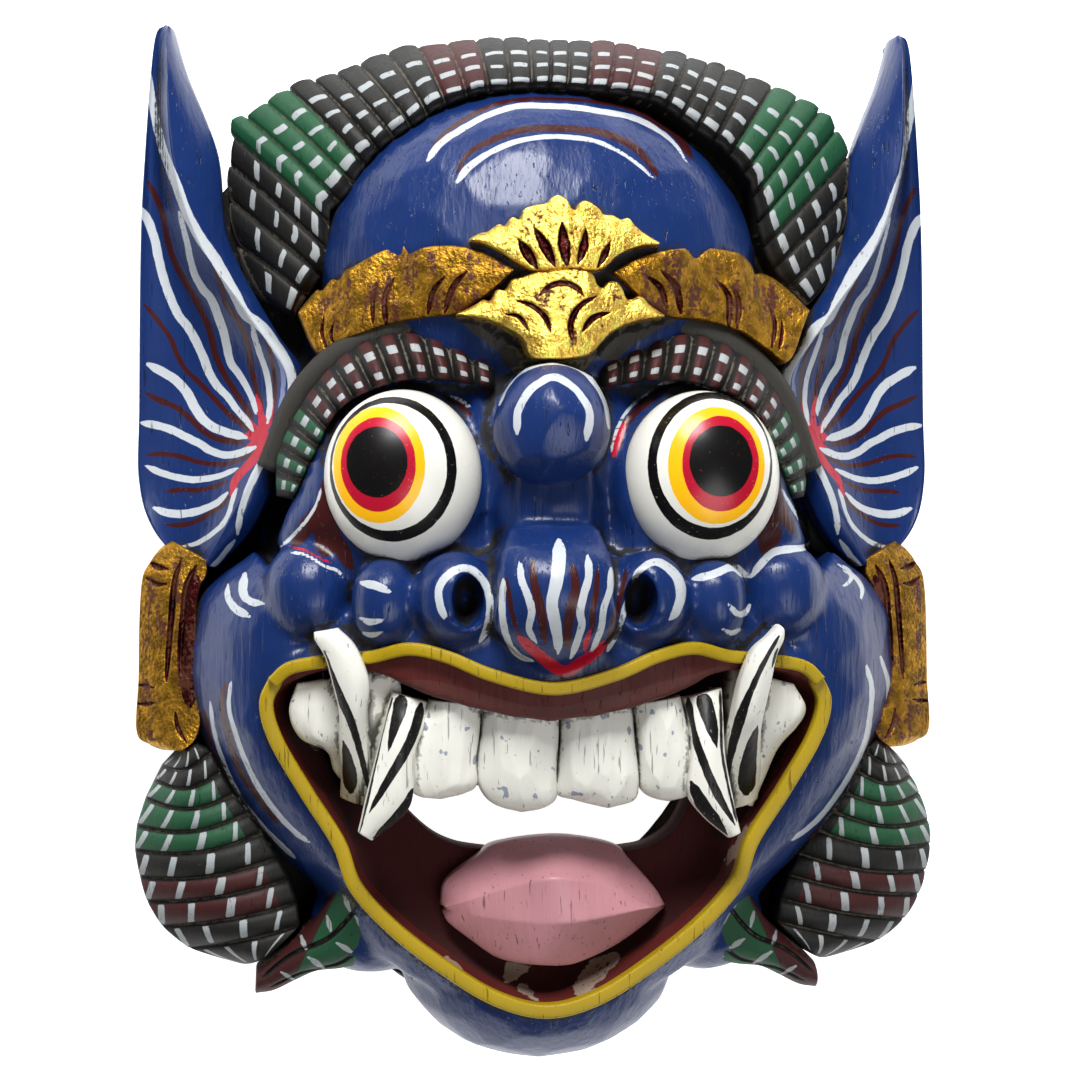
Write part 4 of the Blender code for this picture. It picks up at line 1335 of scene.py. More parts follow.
@dataclass
class Brows:
    """The brows with their tufts, and the dark ridge that they stand on."""

    tufts: int = 13

    def build(self) -> list[Piece]:
        """The ridge and both brows."""
        ridge = [(0, 60, 78), (14, 68, 76), (30, 78, 72), (60, 74, 66), (85, 55, 58), (99, 26, 52)]
        bar = horn(both_halves(ridge[::-1]), (4.5, 6, 6, 6, 4.5), steps=120, sides=24)
        pieces = [Piece("brow_ridge", clipped(bar), "ridge", Slot.BLACK)]
        outer = [(19, 63, 76), (33, 69, 76), (51, 73.5, 76), (69, 68, 72), (84, 53, 68), (95, 32, 62), (96, 16, 60)]
        inner = [(19, 54, 84), (36, 57, 86), (54, 56, 86), (73, 47, 84), (83, 30, 78), (90, 15, 70)]
        for side, name in ((-1, "left"), (1, "right")):
            brow = strip(
                between(on_side(inner, side), on_side(outer, side),
                        lambda s, t: 4 * hill(s, 0.7) - 4.2 * (1 - lobes(t, self.tufts, 0.8))),
                (24, self.tufts * 14), tuck=1.5,
            )
            tuft = brow.values["t"] * self.tufts
            hues = [Hue.MAROON] * 9 + [Hue.GREEN] * (self.tufts - 9)
            hue_values(brow, hues, tuft, 7.0)
            across = (np.mod(tuft, 1) - 0.5) * 7
            for hue in ("maroon", "green"):
                brow.values[hue] = np.minimum(brow.values[hue], 1.7 - np.abs(across))
            depth = np.full(len(tuft), -5.0)
            for share, wide, tall in ((0.2, 1.3, 1.4), (0.66, 1.5, 1.7)):
                along = (brow.values["s"] - share) * 18
                depth = np.maximum(depth, np.minimum(wide - np.abs(across), tall - np.abs(along)))
            brow.values["white"] = depth - 40 * brow.values["wall"]
            pieces.append(Piece(f"{name}_brow", brow, "hair", Slot.MAROON))
        return pieces


@dataclass(frozen=True)
class Blade:
    """A fang or a tusk: its two edges in pixels from root to tip, its heights and its stripes."""

    left: Points
    right: Points
    heights: tuple[float, ...]
    stripes: tuple[Stroke, ...]

    def build(self) -> Shape:
        """The blade with its painted stripes."""
        edges = traced(self.left, *self.heights), traced(self.right, *self.heights)
        blade = strip(
            between(*edges, lambda s, t: 1.5 + 5 * hill(s, 0.75) * (1 - 0.6 * t)),
            (40, 90), tuck=1.5, thick=22,
        )
        paint(blade, "black", self.stripes)
        return blade


BLADES = (
    Blade(
        [(341, 797), (342, 775), (340, 742), (340, 712), (333, 682), (326, 657), (316, 640), (315, 633)],
        [(367, 806), (371, 790), (368, 760), (366, 720), (369, 688), (365, 668), (354, 645), (338, 629)],
        (66, 80, 92, 97, 98, 97),
        (
            Stroke([(324, 650), (330, 668), (341, 698), (352, 724), (361, 755), (369, 790)],
                   (3, 5, 9, 8, 6, 5)),
            Stroke([(343, 741), (347, 757), (350, 778), (351, 791)], (4, 10, 15, 14)),
        ),
    ),
    Blade(
        [(393, 692), (387, 714), (376, 760), (366, 802), (362, 820), (359, 832)],
        [(427, 702), (424, 726), (415, 752), (413, 792), (404, 814), (372, 840)],
        (84, 91, 93, 92, 90),
        (
            Stroke([(392, 698), (385, 720), (376, 760), (366, 802), (359, 832)], (4, 3, 4, 5, 5)),
            Stroke([(402, 696), (399, 712), (393, 732), (388, 753)], (16, 13, 8, 2)),
            Stroke([(421, 704), (416, 726), (405, 752), (387, 782), (369, 813)], (10, 10, 10, 8, 3)),
            Stroke([(417, 788), (409, 806), (393, 824), (374, 838)], (12, 16, 14, 6)),
        ),
    ),
    Blade(
        [(683, 698), (690, 725), (692, 748), (689, 792), (703, 815), (729, 837)],
        [(721, 688), (723, 725), (725, 758), (731, 790), (736, 815), (740, 832)],
        (84, 91, 93, 92, 90),
        (
            Stroke([(688, 698), (691, 722), (697, 744), (713, 785), (735, 825)], (8, 8, 9, 9, 3)),
            Stroke([(702, 694), (706, 708), (711, 724), (717, 748)], (17, 16, 12, 2)),
            Stroke([(720, 690), (721, 720), (722, 752), (729, 790), (737, 822)], (3, 3, 3, 3)),
            Stroke([(691, 782), (699, 798), (709, 814), (727, 835)], (8, 14, 14, 5)),
        ),
    ),
    Blade(
        [(733, 808), (727, 780), (727, 750), (734, 711), (742, 675), (753, 651), (768, 637), (779, 625)],
        [(757, 798), (760, 772), (760, 740), (762, 720), (770, 685), (776, 656), (783, 640), (784, 630)],
        (66, 80, 92, 97, 98, 97),
        (
            Stroke([(779, 636), (768, 655), (757, 677), (742, 713), (731, 752), (728, 780)],
                   (4, 5, 7, 11, 9, 3)),
            Stroke([(758, 725), (752, 745), (748, 768), (746, 792)], (3, 12, 18, 18)),
            Stroke([(778, 648), (775, 656), (772, 668)], (4, 3)),
        ),
    ),
)


# The left and the right edge of each front tooth, in pixels from the lip down
FRONT_TEETH = (
    ([(430, 700), (416, 725), (410, 752), (409, 779), (416, 795), (440, 799)],
     [(481, 704), (480, 730), (477, 757), (477, 784), (465, 793), (440, 799)]),
    ([(481, 704), (481, 730), (477, 761), (480, 787), (494, 804), (521, 812)],
     [(559, 712), (559, 738), (557, 768), (557, 796), (545, 807), (521, 812)]),
    ([(560, 712), (560, 738), (558, 766), (557, 793), (574, 800), (608, 808)],
     [(632, 704), (635, 738), (638, 764), (639, 784), (634, 800), (608, 808)]),
    ([(633, 704), (637, 738), (639, 764), (641, 787), (651, 797), (668, 801)],
     [(680, 696), (688, 728), (692, 752), (694, 774), (689, 794), (668, 801)]),
)


@dataclass
class Mouth:
    """The yellow rims of the mouth, the teeth and the tongue."""

    def build(self) -> list[Piece]:
        """Every piece of the mouth that isn't part of the face's own skin."""
        rim = horn(both_halves(MOUTH_LINE), (2.3, 2.3), steps=240, sides=24, stretch=1.9, squareness=0.36)
        jaw = horn(both_halves(JAW_LINE), (2.6, 2.6), steps=300, sides=24, stretch=1.6, squareness=0.36)
        names = ("left_tusk", "left_fang", "right_fang", "right_tusk")
        return [
            Piece("lip_rim", rim, "yellow", Slot.YELLOW),
            Piece("jaw_rim", jaw, "yellow", Slot.YELLOW),
            Piece("teeth", self._teeth(), "tooth", Slot.WHITE),
            Piece("tongue", self._tongue(), "pink", Slot.PINK),
            *(Piece(name, blade.build(), "tooth", Slot.WHITE) for name, blade in zip(names, BLADES)),
        ]

    @staticmethod
    def _teeth() -> Shape:
        """The four front teeth and the molars at each side."""
        shapes = []
        for left, right in FRONT_TEETH:
            edges = traced(left, 86, 86, 82), traced(right, 86, 86, 82)
            shapes.append(strip(
                between(*edges, lambda s, t: 7 * hill(s, 0.34) * hill(0.4 + 0.6 * t, 0.3)), (48, 72),
                tuck=1.0, thick=24,
            ))
        for edges in (
            ([(370, 808), (336, 774), (327, 752), (300, 738), (289, 712), (297, 684)],
             [(380, 800), (388, 775), (394, 750), (398, 722), (402, 700), (398, 668)]),
            ([(740, 802), (736, 775), (733, 750), (730, 720), (728, 695), (734, 668)],
             [(753, 806), (766, 774), (780, 746), (797, 727), (806, 708), (794, 684)]),
        ):
            low, high = traced(edges[0], 62, 75, 79), traced(edges[1], 62, 77, 81)
            shapes.append(strip(between(low, high, lambda s, t: 8 * hill(s, 0.6) * hill(0.5 + 0.5 * t, 0.5)), (36, 48),
                                thick=24))
        teeth = sum(shapes[1:], shapes[0])
        long = teeth.points * np.array([1, 0.3, 1])
        teeth.points += gouged(long, np.array([0, 0, 1.0]) + 0 * long, 6.5, 1.8, 21) - long
        smudges = ripple(teeth.points, 7.0, 31) + 0.6 * ripple(teeth.points, 3.0, 32)
        teeth.values["grey"] = np.clip((smudges - 1.1) * 2, -7, 7)
        return teeth

    @staticmethod
    def _tongue() -> Shape:
        """The tongue: a lens with a slope above and below its lighter middle."""
        far = traced([(441, 905), (446, 881), (477, 856), (500, 842), (558, 835), (612, 844),
                      (629, 859), (654, 887), (665, 905)], 58, 56, 58)
        ridge = traced([(445, 907), (470, 899), (516, 884), (556, 877), (601, 883), (640, 899),
                        (661, 906)], 62, 79, 62)
        front = traced([(446, 909), (488, 917), (544, 922), (587, 919), (645, 908), (660, 907)],
                       62, 82, 62)
        near = traced([(443, 912), (449, 923), (471, 940), (494, 956), (514, 962), (539, 965),
                       (567, 965), (589, 958), (617, 944), (645, 924), (664, 907)], 58, 73, 58)
        rows = [Path(line) for line in (far, ridge, front, near)]

        def place(s: np.ndarray, t: np.ndarray) -> np.ndarray:
            """The point at s from the far edge to the near one."""
            lines = [row.at(t) for row in rows]
            knots = (0.0, 0.45, 0.62, 1.0)
            points = lines[-1].copy()
            for first, second, a, b in zip(lines, lines[1:], knots, knots[1:]):
                share = np.clip((s - a) / (b - a), 0, 1)[..., None]
                within = ((s >= a) & (s < b))[..., None]
                points = np.where(within, first * (1 - share) + second * share, points)
            points[..., 2] += 3 * hill(s, 0.6) * hill(t, 0.5)
            return points

        return strip(place, (80, 110), tuck=1.0, thick=20)


BEARD_MARKS = (
    Stroke([(344, 896), (350, 911)], (6, 6)),
    Stroke([(327, 916), (331, 931)], (6, 6)),
    Stroke([(301, 936), (306, 949)], (6, 6)),
    Stroke([(355, 916), (367, 933)], (6, 6)),
    Stroke([(337, 943), (353, 953)], (6, 6)),
    Stroke([(308, 957), (324, 968)], (6, 6)),
    Stroke([(281, 972), (294, 980)], (5, 5)),
    Stroke([(372, 933), (379, 941)], (4, 4)),
    Stroke([(356, 961), (366, 958)], (4, 4)),
)
BEARD_GROOVES = (
    Stroke([(262, 978), (291, 955), (324, 941), (342, 926), (360, 904)], (4, 5, 5, 5)),
    Stroke([(318, 968), (341, 962), (359, 948), (371, 931), (376, 920)], (3, 4, 4)),
    Stroke([(272, 986), (300, 973), (325, 968)], (3, 3)),
)
DROP_CUTS = (
    Stroke([(181, 560), (175, 580), (172, 610), (169, 645), (166, 682)], (4, 7, 7, 6, 4)),
    Stroke([(196, 566), (186, 588), (183, 620), (181, 650), (181, 675)], (6, 7, 6, 4)),
    Stroke([(150, 562), (158, 567), (168, 569)], (7, 6)),
    Stroke([(147, 578), (156, 584), (166, 584)], (7, 5)),
    Stroke([(138, 685), (148, 686), (154, 688)], (6, 4)),
    Stroke([(138, 704), (148, 704), (156, 702)], (6, 4)),
    Stroke([(175, 712), (178, 728), (186, 742)], (4, 5, 4)),
)
# A broad maroon band down the inner side of the drop.
DROP_WORN = (Stroke([(197, 578), (190, 620), (188, 660), (190, 706)], (14, 22, 22, 12)),)


@dataclass
class Jaw:
    """The tufts of the beard, the banded curls and the gold drops in front of the ears."""

    # Where the grooves between the bands of a curl start and end, in pixels from the drop down
    groove_out: Points = (
        (178, 749), (163, 765), (156, 779), (147, 797), (138, 825), (136, 849), (141, 876), (148, 900),
        (163, 925), (190, 947), (246, 964),
    )
    groove_in: Points = (
        (196, 744), (210, 752), (220, 772), (233, 794), (248, 812), (262, 832), (277, 857), (288, 878),
        (296, 902), (299, 925), (268, 956),
    )
    hues: str = "KKGGGKMMKK"

    def build(self) -> list[Piece]:
        """Every piece at the edge of the jaw, and the backing behind all of them."""
        pieces = [Piece("backing", hollowed(prism(closed(BACKING), 0, 22)), "hair", Slot.BLACK)]
        # The drops take the darker gold: painted shade, with more wear.
        for name, maker, finish, slot in (
            ("beard", self._beard, "hair", Slot.GREEN),
            ("curls", self._curls, "hair", Slot.BLACK),
            ("drop", self._drop, "dull_gold", Slot.GOLD),
        ):
            shape = maker()
            pieces.append(Piece(f"left_{name}", shape, finish, slot))
            pieces.append(Piece(f"right_{name}", mirror(shape), finish, slot))
        return pieces

    @staticmethod
    def _beard() -> Shape:
        """The tuft of the beard at the left of the photograph."""
        upper = traced([(257, 968), (274, 953), (299, 935), (316, 919), (334, 891), (341, 868)], 36, 48, 58)
        lower = traced([(256, 993), (274, 990), (295, 980), (316, 971), (341, 968), (366, 962),
                        (378, 950), (384, 935), (372, 912), (352, 886)], 36, 44, 50, 60)
        tuft = strip(between(upper, lower, lambda s, t: 7 * hill(s, 0.7)), (60, 90), tuck=1.5)
        engrave(tuft, "groove", BEARD_GROOVES, 3.5, 1.6)
        paint(tuft, "white", BEARD_MARKS)
        free = -tuft.values["groove"]
        pixels = Photo.pixels(tuft.points)
        along = (pixels[:, 0] - 308 + 0.5 * (pixels[:, 1] - 950)) * PIXEL
        tuft.values["green"] = np.minimum(np.clip(along, -7, 7), free)
        tuft.values["maroon"] = np.minimum(np.clip(-along, -7, 7), free)
        return tuft

    def _curls(self) -> Shape:
        """The banded curl at the left of the photograph."""
        count = len(self.hues)
        outer = np.array(traced(self.groove_out, 28, 28))
        inner = np.array(traced(self.groove_in, 42, 42))
        knots = np.arange(count + 1)

        def place(s: np.ndarray, t: np.ndarray) -> np.ndarray:
            """The point at s from the outline inward and t down the bands."""
            band = t * count
            rows = [np.stack([np.interp(band, knots, line[:, i]) for i in range(3)], -1)
                    for line in (outer, inner)]
            points = rows[0] * (1 - s[..., None]) + rows[1] * s[..., None]
            groove = lobes(t, count, 0.4)
            points[..., 1] -= 6 * hill(s) * hill(t, 0.5) * (1 - t)
            points[..., 2] += 15 * hill(0.12 + s * 0.76, 0.8) * hill(t * 0.9 + 0.05, 0.3)
            points[..., 2] -= 4.0 * (1 - groove)
            return points

        curl = strip(place, (70, count * 14), tuck=2.0)
        band = curl.values["t"] * count
        across = (np.mod(band, 1) - 0.5) * 8.6
        hue_values(curl, [LETTERS[letter] for letter in self.hues], band, 8.6)
        depth = np.full(len(band), -5.0)
        for share, wide in ((0.05, 1.2), (0.27, 1.2), (0.56, 1.5), (0.84, 1.0)):
            along = (curl.values["s"] - share + 0.012 * across) * 48
            depth = np.maximum(depth, np.minimum(3.3 - np.abs(across), wide - np.abs(along)))
        curl.values["white"] = depth - 40 * curl.values["wall"]
        worn = 4 - 40 * smoothstep(0.86, 1.0, curl.values["s"])
        for name in ("green", "maroon"):
            curl.values[name] = np.minimum(np.minimum(curl.values[name], worn), 3.4 - np.abs(across))
        return curl

    @staticmethod
    def _drop() -> Shape:
        """The gold drop at the left of the photograph."""
        outer = traced([(172, 541), (160, 550), (151, 562), (143, 578), (140, 616), (139, 678),
                        (137, 731), (150, 744), (162, 749)], 30, 30)
        inner = traced([(206, 560), (206, 574), (199, 588), (196, 610), (196, 640), (197, 680),
                        (200, 720), (194, 740), (182, 750)], 40, 40)
        drop = strip(between(outer, inner, lambda s, t: 5 * hill(0.15 + 0.6 * s, 0.6)), (56, 120), tuck=1.5)
        engrave(drop, "cut", DROP_CUTS, 2.4, 1.4)
        paint(drop, "cut", DROP_WORN)
        return drop


@dataclass
class Relief:
    """A map of how high the carving stands, seen from above; its hollows get dirt and painted shade."""

    cell: float = 1.0
    reach: float = 210.0

    def __post_init__(self) -> None:
        """Starts with nothing but the floor."""
        side = int(2 * self.reach / self.cell)
        self.heights = np.zeros((side, side))

    def _index(self, points: np.ndarray) -> tuple[np.ndarray, np.ndarray]:
        """The cells that the points fall in."""
        cells = ((points[:, :2] + self.reach) / self.cell).astype(int)
        cells = np.clip(cells, 0, len(self.heights) - 1)
        return cells[:, 0], cells[:, 1]

    def add(self, points: np.ndarray) -> None:
        """Raises the map to the points."""
        np.maximum.at(self.heights, self._index(points), points[:, 2])

    def finish(self) -> None:
        """Closes the gaps between points and makes the blurred copies."""
        filled = self.heights
        for axis in (0, 1):
            for step in (-1, 1):
                filled = np.maximum(filled, np.roll(self.heights, step, axis))
        self.heights = np.where(self.heights > 0, self.heights, filled)
        self.near = self._blurred(2)
        self.far = self._blurred(6)

    def _blurred(self, radius: int) -> np.ndarray:
        """The map, averaged twice over a square of that many cells around each cell."""
        result = self.heights
        for axis in (0, 1, 0, 1):
            total = sum(np.roll(result, step, axis) for step in range(-radius, radius + 1))
            result = total / (2 * radius + 1)
        return result

    def depth(self, points: np.ndarray) -> np.ndarray:
        """How deep each point lies under what is around it, from above: -1 edge, 1 groove."""
        where = self._index(points)
        close = (self.near[where] - points[:, 2]) / 2.5
        wide = (self.far[where] - points[:, 2]) / 9.0
        depth = 0.8 * np.clip(close, -1.5, 1.5) + 0.2 * np.clip(wide, -1.5, 1.5)
        # Side walls well under the top of their cell get less dirt and painted shade.
        wall = self.heights[where] - points[:, 2] > 3
        return np.where(wall, np.minimum(depth, 0.35), depth)


def rgb(red: int, green: int, blue: int) -> tuple[float, float, float, float]:
    """A screen colour as the renderer takes it."""
    def line(value: float) -> float:
        """One channel, from its screen value."""
        return value / 12.92 if value <= 0.04045 else ((value + 0.055) / 1.055) ** 2.4
    return (line(red / 255), line(green / 255), line(blue / 255), 1.0)


class Colour(Enum):
    """The paints, the gold leaf, the dirt, and the painted shade and shadow."""

    BLUE = rgb(18, 43, 97)
    BLACK = rgb(22, 21, 19)
    # Black paint, also laid as painted shade in the deepest hollows.
    INK = rgb(9, 8, 8)
    GREEN = rgb(24, 77, 48)
    MAROON = rgb(60, 18, 19)
    LIP = rgb(84, 25, 21)
    MAUVE = rgb(88, 43, 39)
    # Painted shade deep inside the mouth.
    PIT = rgb(54, 13, 12)
    RED = rgb(178, 14, 44)
    WHITE = rgb(232, 231, 222)
    CHALK = rgb(190, 196, 201)
    DASH = rgb(160, 165, 167)
    GREY = rgb(120, 130, 170)
    SMUDGE = rgb(150, 158, 176)
    YELLOW = rgb(168, 141, 4)
    AMBER = rgb(252, 186, 14)
    PINK = rgb(190, 134, 142)
    GOLD = rgb(250, 204, 92)
    # Gold darkened to stand in for the shade on the side bands and drops, and more worn.
    DULL_GOLD = rgb(158, 116, 36)
    BOLE = rgb(80, 36, 18)
    # The dirt in the hollows, which also serves as painted shade there.
    GRIME = rgb(30, 28, 27)
    DUST = rgb(98, 91, 80)
    # Dark grey paint of the brow ridge, also laid under the gold leaves as painted shadow.
    ASH = rgb(52, 50, 46)
    BARE = rgb(148, 130, 116)


@dataclass(frozen=True)
class Layer:
    """A paint that covers part of a piece, where the named value is above 0."""

    value: str
    colour: Colour
    wobble: float = 0.6
    matt: float = 0.0


@dataclass(frozen=True)
class Finish:
    """A finish: its ground coat, the layers over it, how it has aged and how much painted shade its hollows get."""

    ground: Colour
    layers: tuple[Layer, ...] = ()
    shine: float = 0.36
    # How strongly dirt and painted shade darken the hollows.
    grime: float = 1.0
    metal: float = 0.0
    rubbed: float = 0.0
    grain: float = 1.0
    # The colour that dirt and painted shade turn the hollows towards.
    grime_colour: Colour = Colour.GRIME


FINISHES = {
    "blue": Finish(Colour.BLUE, (
        Layer("mouth", Colour.LIP, matt=0.3), Layer("mauve", Colour.MAUVE),
        # Painted shadow under the gold leaves.
        Layer("ash", Colour.ASH, matt=0.25),
        # Painted shade deep in the mouth, and bare wood where the paint is worn off.
        Layer("pit", Colour.PIT, 1.5, matt=0.35), Layer("bare", Colour.BARE, 4.0),
        Layer("grey", Colour.GREY), Layer("maroon", Colour.MAROON),
        Layer("red", Colour.RED), Layer("white", Colour.CHALK),
    ), shine=0.3),
    "eye": Finish(Colour.WHITE, (
        Layer("yellow", Colour.AMBER), Layer("red", Colour.RED), Layer("black", Colour.INK),
    ), shine=0.28, grain=0.0, grime=0.6),
    "hair": Finish(Colour.BLACK, (
        Layer("green", Colour.GREEN), Layer("maroon", Colour.MAROON), Layer("white", Colour.DASH),
    ), shine=0.6, grime=1.0, grime_colour=Colour.DUST),
    "gold": Finish(Colour.GOLD, (Layer("cut", Colour.MAROON),), shine=0.36, metal=1.0),
    # Darker gold, as painted shade, with more wear: the side bands and the drops.
    "dull_gold": Finish(Colour.DULL_GOLD, (Layer("cut", Colour.MAROON),), shine=0.42, metal=1.0, rubbed=0.07),
    "tooth": Finish(Colour.WHITE, (
        Layer("grey", Colour.SMUDGE, 3.5), Layer("black", Colour.INK),
    ), shine=0.45, grime=0.6),
    "ridge": Finish(Colour.ASH, shine=0.65, grime_colour=Colour.DUST),
    "yellow": Finish(Colour.YELLOW, shine=0.5, grime=0.8),
    "pink": Finish(Colour.PINK, shine=0.4, grime=0.7),
}


class Graph:
    """Places nodes in one node tree and joins them."""

    def __init__(self, tree: bpy.types.NodeTree) -> None:
        """Starts with an empty tree."""
        self.tree = tree
        tree.nodes.clear()

    def node(self, kind: str, inputs: dict | None = None, **settings: object) -> bpy.types.Node:
        """Adds a node.

        Args:
            kind: Its type.
            inputs: Values or sockets for its inputs, by name or number.
            settings: Its own properties.

        Returns:
            The node.
        """
        node = self.tree.nodes.new(kind)
        for name, value in settings.items():
            setattr(node, name, value)
        for key, value in (inputs or {}).items():
            if isinstance(value, bpy.types.NodeSocket):
                self.tree.links.new(value, node.inputs[key])
            else:
                node.inputs[key].default_value = value
        return node

    def math(self, operation: str, *values: object, clamp: bool = False) -> bpy.types.NodeSocket:
        """The result of a sum on values or sockets."""
        inputs = dict(enumerate(values))
        return self.node("ShaderNodeMath", inputs, operation=operation, use_clamp=clamp).outputs[0]

    def mix(self, share: object, low: object, high: object) -> bpy.types.NodeSocket:
        """A colour between two colours."""
        inputs = {0: share, 6: low, 7: high}
        return self.node("ShaderNodeMix", inputs, data_type="RGBA").outputs[2]

    def ease(self, value: object, low: float, high: float, start: float = 0.0, end: float = 1.0):
        """Eases from start to end while the value goes from low to high."""
        inputs = {0: value, 1: low, 2: high, 3: start, 4: end}
        node = self.node("ShaderNodeMapRange", inputs, interpolation_type="SMOOTHSTEP", clamp=True)
        return node.outputs[0]

    def place(self) -> bpy.types.NodeSocket:
        """The place on the piece, in metres."""
        return self.node("ShaderNodeTexCoord").outputs["Object"]

    def stretched(self, scale: tuple[float, float, float]) -> bpy.types.NodeSocket:
        """The place, scaled differently along each axis."""
        inputs = {"Vector": self.place(), "Scale": scale}
        return self.node("ShaderNodeMapping", inputs).outputs[0]

    def noise(self, scale: float, detail: float = 3.0, where: object = None) -> bpy.types.NodeSocket:
        """Smooth noise from 0 to 1."""
        inputs = {"Vector": where or self.place(), "Scale": scale, "Detail": detail}
        return self.node("ShaderNodeTexNoise", inputs).outputs[0]

    def value(self, name: str) -> bpy.types.NodeSocket:
        """A value stored on the mesh."""
        return self.node("ShaderNodeAttribute", attribute_name=name).outputs["Fac"]


class Effects:
    """Effects that several materials share, as node groups."""

    @staticmethod
    def _group(name: str, inputs: dict, outputs: dict) -> tuple[Graph, dict, bpy.types.Node]:
        """An empty group with named sockets.

        Args:
            name: The group's name.
            inputs: The kind of each input socket.
            outputs: The kind of each output socket.

        Returns:
            The graph, its input sockets and its output node.
        """
        tree = bpy.data.node_groups.new(name, "ShaderNodeTree")
        for title, kind in inputs.items():
            tree.interface.new_socket(title, in_out="INPUT", socket_type=kind)
        for title, kind in outputs.items():
            tree.interface.new_socket(title, in_out="OUTPUT", socket_type=kind)
        graph = Graph(tree)
        source = graph.node("NodeGroupInput")
        return graph, {title: source.outputs[title] for title in inputs}, graph.node("NodeGroupOutput")

    @classmethod
    def brush(cls) -> bpy.types.NodeTree:
        """Where a brush stroke covers, with the uneven edge that a brush leaves."""
        graph, inputs, end = cls._group(
            "brush_edge",
            {"Inside": "NodeSocketFloat", "Wobble": "NodeSocketFloat"},
            {"Cover": "NodeSocketFloat"},
        )
        uneven = graph.math("SUBTRACT", graph.noise(260.0, 3.0), 0.5)
        inside_by = graph.math("MULTIPLY_ADD", uneven, inputs["Wobble"], inputs["Inside"])
        thin = graph.ease(graph.noise(900.0, 2.0), 0.66, 0.8, 1.0, 0.7)
        cover = graph.math("MULTIPLY", graph.ease(inside_by, -0.08, 0.16), thin)
        graph.tree.links.new(cover, end.inputs["Cover"])
        return graph.tree

    @classmethod
    def ageing(cls) -> bpy.types.NodeTree:
        """Dust and grime in the grooves, which also stand in for the shade there, near-black painted shade in the
        deepest hollows, and the wood's grain under the paint.
        """
        graph, inputs, end = cls._group(
            "ageing",
            {
                "Colour": "NodeSocketColor", "Depth": "NodeSocketFloat", "Grime": "NodeSocketFloat",
                "Dirt": "NodeSocketColor", "Rough": "NodeSocketFloat", "Grain": "NodeSocketFloat",
            },
            {"Colour": "NodeSocketColor", "Rough": "NodeSocketFloat", "Height": "NodeSocketFloat",
             "Cover": "NodeSocketFloat"},
        )
        cloud = graph.math("SUBTRACT", graph.noise(95.0, 5.0), 0.5)
        fine = graph.math("SUBTRACT", graph.noise(520.0, 3.0), 0.5)
        broad = graph.math("MULTIPLY_ADD", cloud, 0.6, inputs["Depth"])
        depth = graph.math("MULTIPLY_ADD", fine, 1.4, broad)
        # Dirt that settles in the grooves; the same darkening is also painted shade there.
        settled = graph.math("MULTIPLY", graph.ease(depth, 0.5, 0.85), inputs["Grime"], clamp=True)
        specks = graph.math("MULTIPLY", graph.ease(graph.noise(700.0, 2.0), 0.7, 0.76), inputs["Grain"])
        settled = graph.math("MAXIMUM", settled, graph.math("MULTIPLY", specks, 0.35))
        pores = graph.noise(1.0, 2.0, graph.stretched((900.0, 60.0, 900.0)))
        open_pores = graph.math("MULTIPLY", graph.ease(pores, 0.65, 0.72), inputs["Grain"])
        faded = graph.ease(graph.noise(38.0, 4.0), 0.3, 0.75, -0.05, 0.05)
        tint = graph.node("ShaderNodeHueSaturation", {
            "Color": inputs["Colour"], "Value": graph.math("ADD", 1.0, faded)
        }).outputs[0]
        dark = graph.mix(graph.math("MULTIPLY", open_pores, 0.55), tint, Colour.INK.value)
        colour = graph.mix(graph.math("MULTIPLY", settled, 0.9), dark, inputs["Dirt"])
        # Painted shade: the deepest hollows go almost black.
        colour = graph.mix(graph.math("MULTIPLY", graph.ease(broad, 0.95, 1.4), 0.75), colour, Colour.INK.value)
        rough = graph.math("MULTIPLY_ADD", settled, 0.4, inputs["Rough"])
        rough = graph.math("ADD", rough, graph.math("MULTIPLY", faded, 0.5))
        grain = graph.noise(1.0, 4.0, graph.stretched((420.0, 40.0, 420.0)))
        height = graph.math("MULTIPLY", graph.math("SUBTRACT", grain, open_pores), inputs["Grain"])
        for title, socket in (("Colour", colour), ("Rough", rough), ("Height", height), ("Cover", settled)):
            graph.tree.links.new(socket, end.inputs[title])
        return graph.tree

    @classmethod
    def leaf(cls) -> bpy.types.NodeTree:
        """Crinkled gold leaf, rubbed through in patches to the ground under it."""
        graph, inputs, end = cls._group(
            "gold_leaf",
            {"Colour": "NodeSocketColor", "Under": "NodeSocketColor", "Depth": "NodeSocketFloat",
             "Height": "NodeSocketFloat", "Rubbed": "NodeSocketFloat"},
            {"Colour": "NodeSocketColor", "Metal": "NodeSocketFloat", "Height": "NodeSocketFloat"},
        )
        patch = graph.noise(1.0, 5.0, graph.stretched((190.0, 75.0, 190.0)))
        thin = graph.math("MULTIPLY_ADD", graph.noise(620.0, 3.0), 0.6, patch)
        thin = graph.math("MULTIPLY_ADD", inputs["Depth"], 0.2, thin)
        worn = graph.ease(graph.math("ADD", thin, inputs["Rubbed"]), 0.86, 1.0)
        tone = graph.ease(graph.noise(230.0, 4.0), 0.35, 0.65, 0.7, 1.5)
        tinted = graph.node("ShaderNodeHueSaturation", {"Color": inputs["Colour"], "Value": tone}).outputs[0]
        colour = graph.mix(worn, tinted, inputs["Under"])
        metal = graph.math("MULTIPLY_ADD", worn, -0.9, 1.0)
        crinkle = graph.math("MULTIPLY", graph.noise(760.0, 4.0), 3.6)
        height = graph.math("ADD", crinkle, inputs["Height"])
        for title, socket in (("Colour", colour), ("Metal", metal), ("Height", height)):
            graph.tree.links.new(socket, end.inputs[title])
        return graph.tree


